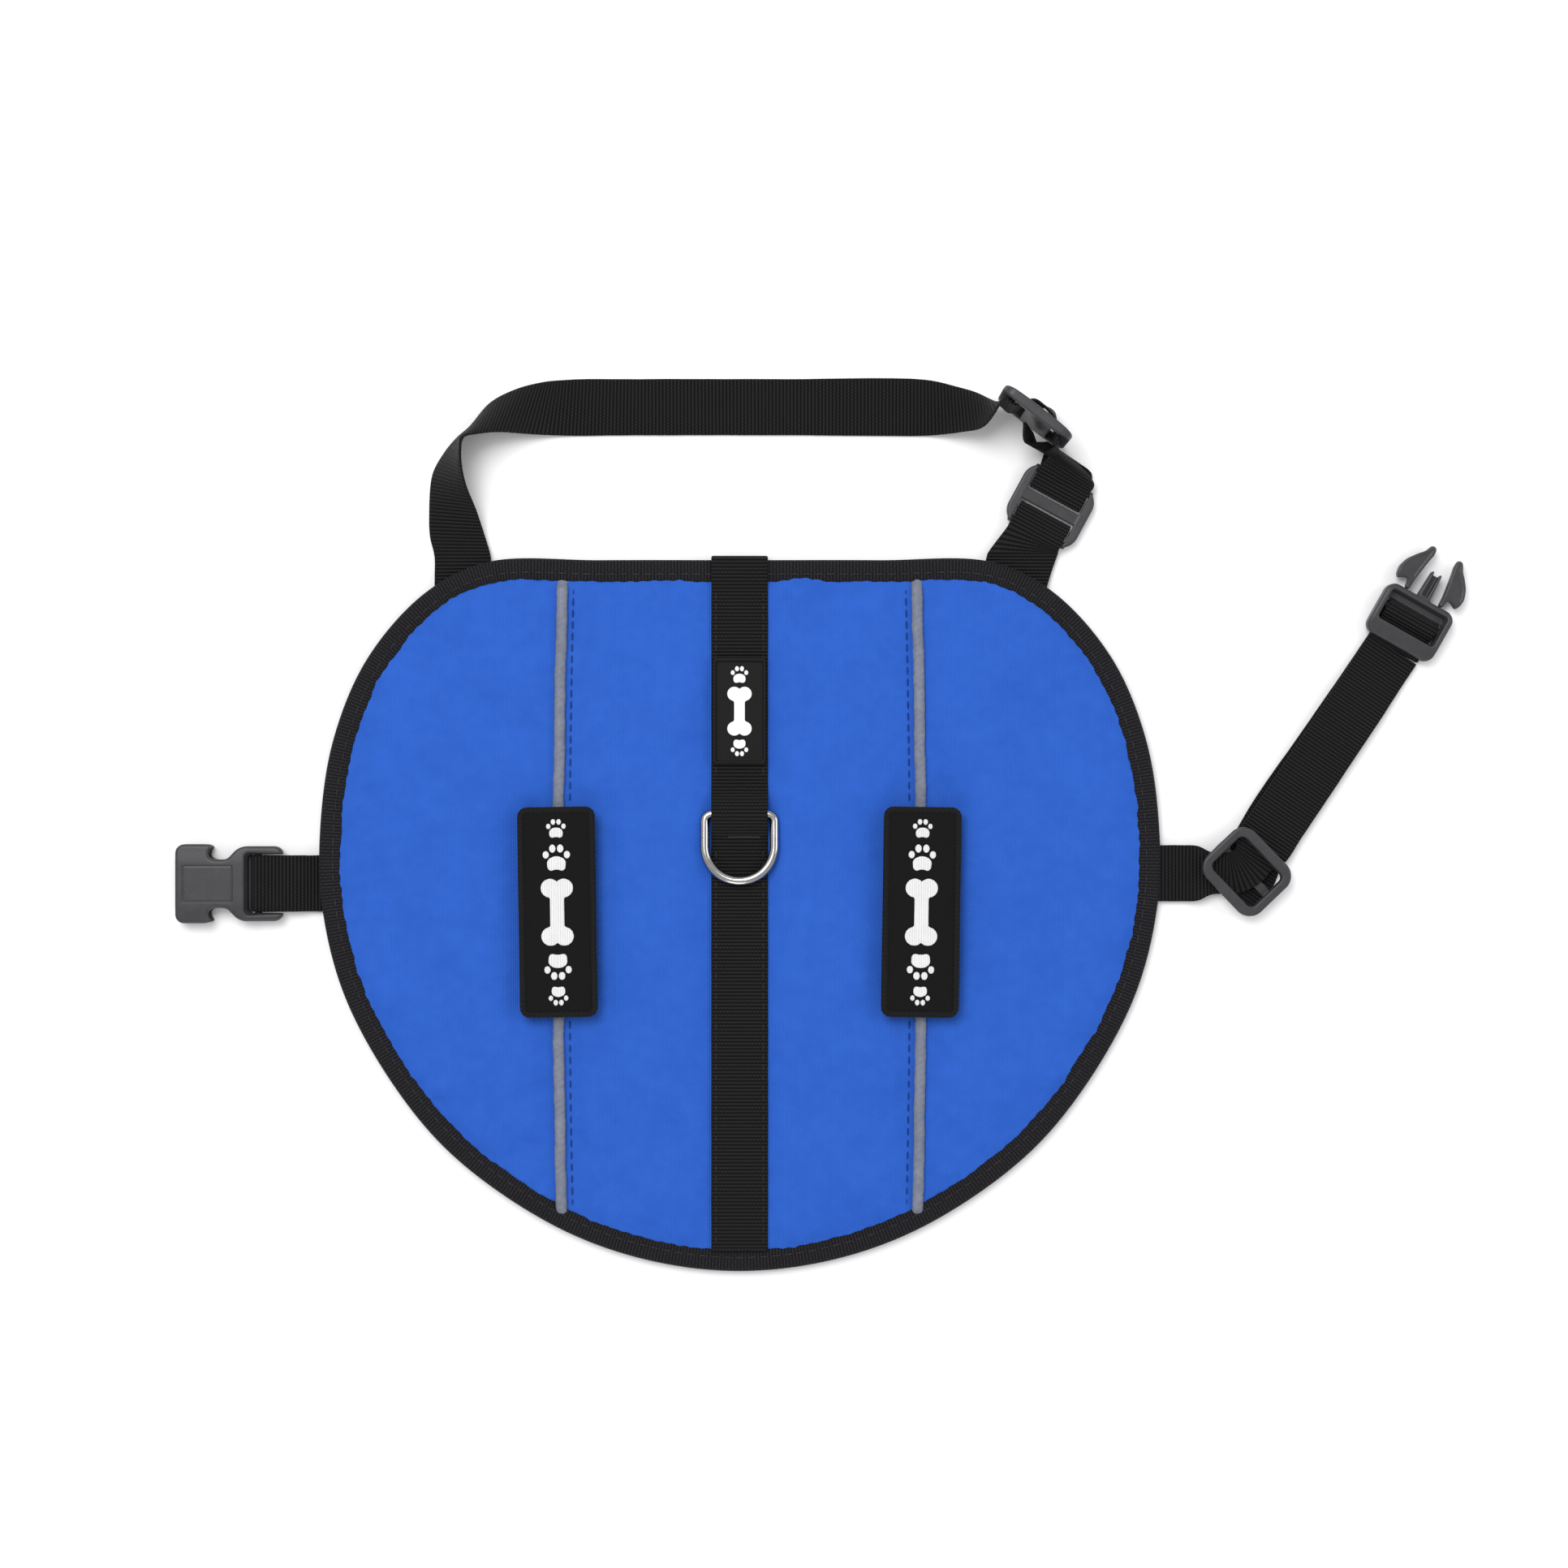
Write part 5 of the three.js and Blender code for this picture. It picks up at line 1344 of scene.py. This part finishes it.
def plug_body(x, y, z):
    """A thick frame with a broad rear bar that slopes to the webbing, a round inner bar, a raked
    front wall and a channelled prong, and a low plate at the window's front that stands in for
    the shade inside the buckle: painted shade."""
    flat = rectangle(x, y, 12.5, 0, 12.5, 16.9, 4.6)
    middle = (PLUG_LOW + PLUG_TOP) / 2
    up = z - middle
    thin = 1.5 * (1 - rising(x, -1, 8)) + 0.9 * rising(x, 20.5, 26)
    body = rounded(flat, np.abs(up + 0 * x) + thin - (PLUG_TOP - PLUG_LOW) / 2, 1.5)
    widen = 0.7 * rising(up, 0, 3.4)
    window = rectangle(x, y, 14.9, 0, 6.8 + widen, 13.5 + widen, 1.6)
    body = without(body, window, 0.6)
    under = np.maximum(rectangle(x, y, 2, 0, 7.5, 13.8), z - 4.2)
    body = without(body, under, 0.5)
    rod = rectangle(x, y, 30.5, 0, 7.2, 3.1 - 0.05 * (x - 24), 0.6)
    prong = slab_of(rod, z, ARM_LOW, ARM_TOP, 0.5)
    channel = np.maximum(rectangle(x, y, 34.5, 0, 8.5, 1.35, 0.2), ARM_LOW + 1.5 - z)
    notch = rectangle(x, y, 38.2, 0, 1.6, 1.5, 0.5) + 0 * z
    prong = without(without(prong, channel, 0.3), notch, 0.2)
    # A low plate past the webbing loop keeps the window dark there: painted shade, a dark piece
    # where the shade inside the buckle falls.
    shade_plate = slab_of(rectangle(x, y, 20.6, 0, 2.0, 13.4, 0.3), z, PLUG_LOW, 3.0, 0.2)
    body = joined(joined(body, shade_plate, 0.3), prong, 0.8)
    return joined(body, bar_along_y(x, y, z, PLUG_BAR_X, BAR_R), 0.5)


ARM_EDGE = soft_outline([
    (25.3, 7.5), (25.3, 9.7), (29.6, 10.2), (29.2, 12.4), (27.4, 14.8), (29.3, 16.0), (33, 16.5),
    (37.6, 14.9), (42, 11.6), (44, 9.6), (46.3, 8.6), (47.4, 7.0), (46.4, 5.4), (44, 5.3),
    (40, 6.1), (34, 7), (29.5, 7.6)], 1.3)


def arm(hand):
    """One spring arm: a thin leaf, a hooked head with a rib along it, and a round pin tip."""
    def field(x, y, z):
        y = y * hand
        up = z - (ARM_LOW + ARM_TOP) / 2
        flat = polygon(x, y, ARM_EDGE)
        thin = 0.55 * (1 - rising(x, 26.5, 31))
        shape = rounded(flat, np.abs(up + 0 * x) + thin - (ARM_TOP - ARM_LOW) / 2, 0.75)
        hollow = np.maximum(flat + 1.5, 2.0 - np.abs(up))
        shape = without(shape, np.maximum(hollow, 31.5 - x), 0.4)
        tip = np.hypot(np.hypot(x - np.clip(x, 44.0, 46.2), y - 6.9), up) - 1.75
        return joined(shape, tip, 0.6)
    return field


PLUG_PLACE = dict(place=(*PLUG_AT, 0), degrees=PLUG_DEG)
seat(moulded("plug_shell", plug_body, (0, -17, PLUG_LOW), (38, 17, PLUG_TOP), 0.4, PLASTIC,
             **PLUG_PLACE), "plug", "acetal", "plug_frame")
for word, hand, body in (("left", 1, "latch_arm_left"), ("right", -1, "latch_arm_right")):
    low, high = sorted((4.5 * hand, 16.6 * hand))
    seat(moulded("spring_arm_" + word, arm(hand), (25, low, ARM_LOW), (48.4, high, ARM_TOP), 0.3,
                 PLASTIC, **PLUG_PLACE), body, "acetal", "latch_" + word)

# %% Belt slider
SLIDE_MID = 4.4
SLIDER_DEG = HEADING_DEG - 12.5
SLIDER_AT = along_run(1.0)


def belt_slider(x, y, z):
    """A rounded square ring over the webbing, with two posts that carry a flat bar under it."""
    flat = rectangle(x, y, 0, 0, 15.2, 17.5, 7.5)
    window = rectangle(x, y, 0, 0, 10.0, 13.2, 2.6)
    low = SLIDE_MID + WEB / 2 + 0.3
    widen = 0.45 * rising(z, low + 1.2, low + 3.2)
    frame_ring = without(slab_of(flat, z, low, low + 3.3, 1.15), window - widen, 0.5)
    posts = slab_of(rectangle(x, np.abs(y), 0, 15.4, 2.2, 1.6, 0.5), z, 2.0, low + 1.5, 0.3)
    bar = slab_of(rectangle(x, y, 0, 0, 2.1, 16.9, 0.6), z, 2.0, SLIDE_MID - WEB / 2 - 0.25, 0.4)
    return joined(joined(frame_ring, posts, 0.6), bar, 0.4)


seat(moulded("belt_slider_ring", belt_slider, (-15.2, -17.5, 2), (15.2, 17.5, 8.8), 0.4, PLASTIC,
             (*SLIDER_AT, 0), SLIDER_DEG), "belt_slider", "acetal", "girth_slider")

# %% Neck ring and neck slider
NECK_LINE_Y = HALF_L + 1.4
NECK_ROOT_X = 125.2
NECK_TOP_Y = NECK_LINE_Y + 67.7
RING_BAR = 12.9                # ring's middle to an end bar
RING_AT, RING_DEG = np.array([140.2, NECK_LINE_Y + 22.8]), 61.5
NECK_SLIDER_AT, NECK_SLIDER_DEG = np.array([131.8, NECK_TOP_Y - 6.7]), -37.7


def neck_ring(x, y, z):
    """Two broad rails, a round bar at each end and a centre bar with five long ridges."""
    up = z - LOOP_Z
    flat = rectangle(x, y, 0, 0, 15.0, 17.5, 8.0)
    rails = np.maximum(rounded(flat, np.abs(up + 0 * x) - 1.75, 1.1), WINDOW - 0.4 - np.abs(y))
    bars = rounded(np.hypot(np.abs(x) - RING_BAR, up) - BAR_R, np.abs(y) - WINDOW - 0.6, 0.1)
    ridges = 0.22 * np.abs(np.sin(math.pi * (x + 2.6) / 1.04))
    centre = rounded(np.abs(x) - 2.6, np.abs(up) - 1.35 - ridges, 0.35)
    centre = np.maximum(centre, np.abs(y) - WINDOW - 0.6)
    return joined(joined(rails, bars, 0.7), centre, 0.5)


def neck_slider(x, y, z):
    """A plate with two slots that stands on its rail and bulges in the middle like a lens."""
    up = z - STAND_MID
    bulge = 1.0 + 1.35 * np.sqrt(np.clip(1 - (x / 19.2) ** 2, 0, 1))
    flat = rectangle(x, up, 0, 0, 18.6, 17.4, 5.5)
    plate = rounded(flat, np.abs(y) - bulge, 0.7)
    slots = np.minimum(rectangle(x, up, -8.1, 0, 2.8, 13.5, 1.0),
                       rectangle(x, up, 11.4, 0, 2.7, 13.5, 1.0))
    return without(plate, slots + 0 * y, 0.5)


STAND = 5.1                    # lower edge of the webbing that stands in the slider
STAND_MID = STAND + WEB_WIDTH / 2
seat(moulded("neck_ring_frame", neck_ring, (-15, -17.5, 1.6), (15, 17.5, 5.4), 0.38, PLASTIC,
             (*RING_AT, 0), RING_DEG), "neck_loop", "acetal", "neck_ring")
seat(moulded("neck_slider_plate", neck_slider, (-18.7, -2.4, 0.3), (18.7, 2.4, 35.3), 0.4, PLASTIC,
             (*NECK_SLIDER_AT, 0), NECK_SLIDER_DEG), "neck_loop", "acetal", "neck_slider")

# %% [markdown]
# ## The girth belt's webbing
# The left half is a short tab, folded round the socket's bar.  The right half runs out from the
# panel, turns a corner inside the slider, and goes up to the plug.  The webbing can't bend in its
# own plane, so it bunches to less than its width at that corner.

# %% Left tab
TAIL_MID = 2.6
SIDE_LINE = HALF_W + 1.55
TAB_LENGTH = 26.1
LOOP_R = BAR_R + 0.3 + WEB / 2
WEB_LOW = 1.0
SEWN = 20.0                    # length of webbing sewn inside the panel
BEND_IN, BEND_OUT = 0.2, 3.2   # the bend's start inside the panel's edge, and its end outside it


def loop_round(centre):
    """A half turn of webbing round a bar at this distance, as (distance, height)."""
    return corner(centre, LOOP_Z, LOOP_R, 90, -90, 13)


def bends(strap, body, nodes, start, end):
    """Webbing that stands for these CAD nodes, with its place put into its mesh; body, start and
    end are not used.
    """
    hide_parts(*nodes)
    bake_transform(strap)


tab_profile = np.concatenate([
    curve([(-SEWN, TAIL_MID), (-8, TAIL_MID), (0, TAIL_MID), (3.4, 3.2), (7.5, 5.0), (13, 5.5),
           (19, 5.8), (TAB_LENGTH - 1, LOOP_Z + LOOP_R)], 6)[:-1],
    loop_round(TAB_LENGTH),
    [(20, WEB_LOW), (12, WEB_LOW), (8, WEB_LOW), (4.6, WEB_LOW + 0.05)]])
TAB_Y = SOCKET_AT[1]
tab = straight_ribbon("belt_tab_strap", tab_profile, (-SIDE_LINE, TAB_Y), 180, seed=101)
bends(tab, "belt_tab", ("girth_tab", "girth_tail_left"), (-HALF_W + BEND_IN, TAB_Y),
      (-HALF_W - BEND_OUT, TAB_Y))
print("left tab", round(lengths(tab_profile)[-1]), "mm of webbing")

# %% Right strap, through the slider to the plug
CORNER_R = 14.0
PINCH = 0.74
PLUG_MID = WEB_LOW + WEB + 0.3
reach = CORNER_R * math.tan(HEADING / 2)
bend_x = CORNER_X - reach
stub = [(-SEWN, TAIL_MID, 1.0), (-8, TAIL_MID, 1.0), (0, TAIL_MID, 1.0), (8, TAIL_MID, 1.0),
        (15.5, SLIDE_MID, 0.97), (21.5, SLIDE_MID, PINCH + 0.02)]
rows = [(SIDE_LINE + d, GIRTH_Y, z, 0.0, w) for d, z, w in stub]
for share in np.linspace(0, 1, 7):
    angle = share * HEADING
    rows.append((bend_x + CORNER_R * math.sin(angle), GIRTH_Y + CORNER_R * (1 - math.cos(angle)),
                 SLIDE_MID, angle, PINCH))
run = [(reach + 6, SLIDE_MID, 0.98), (28, SLIDE_MID, 1.0), (60, SLIDE_MID, 1.0),
       (90, SLIDE_MID, 1.0), (GIRTH_RUN - 9, PLUG_MID, 1.0), (GIRTH_RUN - 0.2, PLUG_MID, 1.0)]
for s, z, w in run:
    rows.append((*along_run(s), z, HEADING, w))
rows = np.array(rows)
middle = rows[:, :3]
toward = np.column_stack([-np.sin(rows[:, 3]), np.cos(rows[:, 3]), np.zeros(len(rows))])
half_width = toward * (rows[:, 4:] * WEB_WIDTH / 2)
belt = ribbon("belt_strap", curve(middle + half_width), curve(middle - half_width), seed=103)
bends(belt, "belt", ("girth_strap", "girth_tail_right"), (HALF_W - BEND_IN, GIRTH_Y),
      (HALF_W + BEND_OUT, GIRTH_Y))
print("right strap", round(lengths(middle)[-1]), "mm of webbing")

# %% Return layer and the loop in the plug
drift = [(-11, -1.6), (3, -2.0), (14, 0.4), (30, 1.5), (60, 0.9), (90, 0.3),
         (GIRTH_RUN - 0.2, 0.0)]       # distance along the run, and to its left
back = curve([(*along_run(s, t), WEB_LOW) for s, t in drift])
back_side = np.append(SIDE, 0) * WEB_WIDTH / 2
seat(ribbon("belt_return", back + back_side, back - back_side, seed=105),
     "belt", "webbing", "girth_return")

plug_profile = np.concatenate([
    curve([(-1.0, PLUG_MID), (4, PLUG_MID), (8.4, PLUG_MID), (10.6, 4.4), (12.4, 5.9),
           (PLUG_BAR_X - 0.4, LOOP_Z + LOOP_R)], 6)[:-1],
    loop_round(PLUG_BAR_X), [(9, WEB_LOW), (-1.0, WEB_LOW)]])
seat(straight_ribbon("plug_loop_strap", plug_profile, PLUG_AT, PLUG_DEG, seed=107),
     "plug", "webbing", "plug_strap_loop")
print("loop in the plug", round(lengths(plug_profile)[-1]), "mm")

# %% [markdown]
# ## The neck loop's webbing
# One length runs from the left root round to the slider and the ring.  Its corners stand up on
# their outer edge, and it stands on edge in the slider.  Both edges follow listed points, close
# to those that shape its solid.


# %% Frames of the slider and the ring
LOOP_REACH = 8.6               # a loose loop's reach past the ring's end bar


def by_slider(u, n, z):
    """A point in the neck slider's frame."""
    return (*(NECK_SLIDER_AT + rotated([(u, n)], NECK_SLIDER_DEG)[0]), z)


def by_ring(u, n, z):
    """A point in the neck ring's frame."""
    return (*(RING_AT + rotated([(u, n)], RING_DEG)[0]), z)


def ring_loop(hand):
    """Webbing's half turn round an end bar of the ring: points of its right and left edges."""
    edges = ([], [])
    for angle in np.radians([90, 60, 30, 0, -30, -60, -90]):
        u = hand * (RING_BAR - LOOP_REACH * math.cos(angle))
        z = LOOP_Z + LOOP_R * math.sin(angle)
        for points, n in zip(edges, (-W, W)):
            points.append(by_ring(u, n, z))
    return edges


# %% Neck strap
W = WEB_WIDTH / 2
R0, N0, T0 = NECK_ROOT_X, NECK_LINE_Y + 0.15, NECK_TOP_Y
outer_edge = [
    (-R0 - W, N0 - SEWN, TAIL_MID), (-R0 - W, N0 - 8, TAIL_MID), (-R0 - W, N0, TAIL_MID),
    (-R0 - 15, N0 + 10, 1.4), (-R0 - 15.3, N0 + 22, WEB_LOW), (-R0 - 13.6, N0 + 37.5, 0.8),
    (-R0 - 8.3, N0 + 47, 0.8), (-R0 - 2.3, N0 + 54, 0.8), (-R0 + 3.4, T0 - 8.7, 0.8),
    (-R0 + 12.7, T0 + 2.3, 0.8), (-R0 + 23.7, T0 + 8.2, 0.9), (-R0 + 34.7, T0 + 11.4, WEB_LOW),
    (-R0 + 47, T0 + W, WEB_LOW), (-40, T0 + W + 0.3, WEB_LOW), (20, T0 + W + 0.3, WEB_LOW),
    (84, T0 + W, WEB_LOW), (98, T0 + 9.6, 1.2), (108, T0 + 6.2, 2.5)]
inner_edge = [
    (-R0 + W, N0 - SEWN, TAIL_MID), (-R0 + W, N0 - 8, TAIL_MID), (-R0 + W, N0, TAIL_MID),
    (-R0 + 10.2, N0 + 9, 3), (-R0 + 7.4, N0 + 19, 8), (-R0 + 3.2, N0 + 31.2, 19),
    (-R0 + 1.8, N0 + 40, 23.5), (-R0 + 1.7, N0 + 46, 25), (-R0 + 2.4, N0 + 50.8, 25.4),
    (-R0 + 9.2, T0 - 14.1, 20), (-R0 + 18, T0 - 12.7, 14.4), (-R0 + 28.3, T0 - 12.7, 7.5),
    (-R0 + 45, T0 - W, 1.6), (-40, T0 - W + 0.3, WEB_LOW), (20, T0 - W + 0.3, WEB_LOW),
    (84, T0 - W, 1.2), (99, T0 - 12.1, 8), (109, T0 - 10.6, 16)]
for u, low_n, high_n in ((-15, -3, -3), (-10.5, -2.9, -2.9), (-4.6, 4.2, 3.9), (0, 8.2, 4.2),
                         (5.5, 9.0, 3.4), (11.2, 2.2, 0.6), (15.0, -2.6, -5.0)):
    outer_edge.append(by_slider(u, low_n, STAND))
    inner_edge.append(by_slider(u, high_n, STAND + WEB_WIDTH))
outer_edge += [(151.6, RING_AT[1] + 19.6, 4.6), by_ring(RING_BAR + 5, -W, 5.6)]
inner_edge += [(136.6, RING_AT[1] + 22.0, 21), by_ring(RING_BAR + 5.5, W - 1, 12)]
outer_turn, inner_turn = ring_loop(1)
outer_edge += outer_turn + [
    by_ring(RING_BAR + 4, 1 - W, WEB_LOW), by_ring(RING_BAR + 9, 3.2 - W, 2.2),
    (135.5, 210.5, 4.2), (131.8, 217.5, 5.6)]
inner_edge += inner_turn + [
    by_ring(RING_BAR + 6, W + 1, 1.6), by_ring(RING_BAR + 11, W + 2.4, 7.0),
    (127.6, 212.0, 18.0), (126.2, 219.5, 27.0)]
PER = 7
outer_path, inner_path = curve(outer_edge, PER), curve(inner_edge, PER)
for path in (outer_path, inner_path):
    path[:, 2] = np.maximum(path[:, 2], 0.8)
neck = ribbon("neck_strap_web", outer_path, inner_path, seed=109)
NECK_BEND = ((0, HALF_L - BEND_IN), (0, HALF_L + BEND_OUT))
bends(neck, "neck_loop", ("neck_strap", "neck_tail_left"), *NECK_BEND)
print("neck strap", round(lengths((outer_path + inner_path) / 2)[-1]), "mm of webbing")

# %% Neck anchor
left_edge = [(R0 - W - 6, N0 - SEWN, TAIL_MID), (R0 - W - 3, N0 - 8, TAIL_MID),
             (R0 - W - 1, N0, TAIL_MID), (R0 - W - 0.6, N0 + 1.5, TAIL_MID),
             by_ring(-RING_BAR - 3.4, W, LOOP_Z + LOOP_R - 0.6)]
right_edge = [(R0 + W - 1, N0 - SEWN, TAIL_MID), (R0 + W + 2.6, N0 - 8, TAIL_MID),
              (R0 + W + 5.4, N0, TAIL_MID), (R0 + W + 5.9, N0 + 1.5, TAIL_MID),
              by_ring(-RING_BAR - 2.6, -W, LOOP_Z + LOOP_R - 0.6)]
right_turn, left_turn = ring_loop(-1)
left_edge += left_turn + [by_ring(-RING_BAR - 4, W, WEB_LOW)]
right_edge += right_turn + [by_ring(-RING_BAR - 1.5, -W, WEB_LOW)]
anchor = ribbon("neck_anchor_web", curve(left_edge, 6), curve(right_edge, 6), seed=111)
bends(anchor, "neck_loop", ("neck_anchor", "neck_tail_right"), *NECK_BEND)
print("anchor made")

# %% [markdown]
# ## Cloth sizes, and the end
# The shell cloth and the lining are sheets, and the foam is a pad.  Each shell piece prints the
# flat size that it was cut to.

for shell, flat, area, under in sheets:
    print(shell.name, "cut", [round(v, 3) for v in flat], "area", round(area, 4), "m2")
outline = EDGE + 1.2 * EDGE_IN
x, y = outline.T
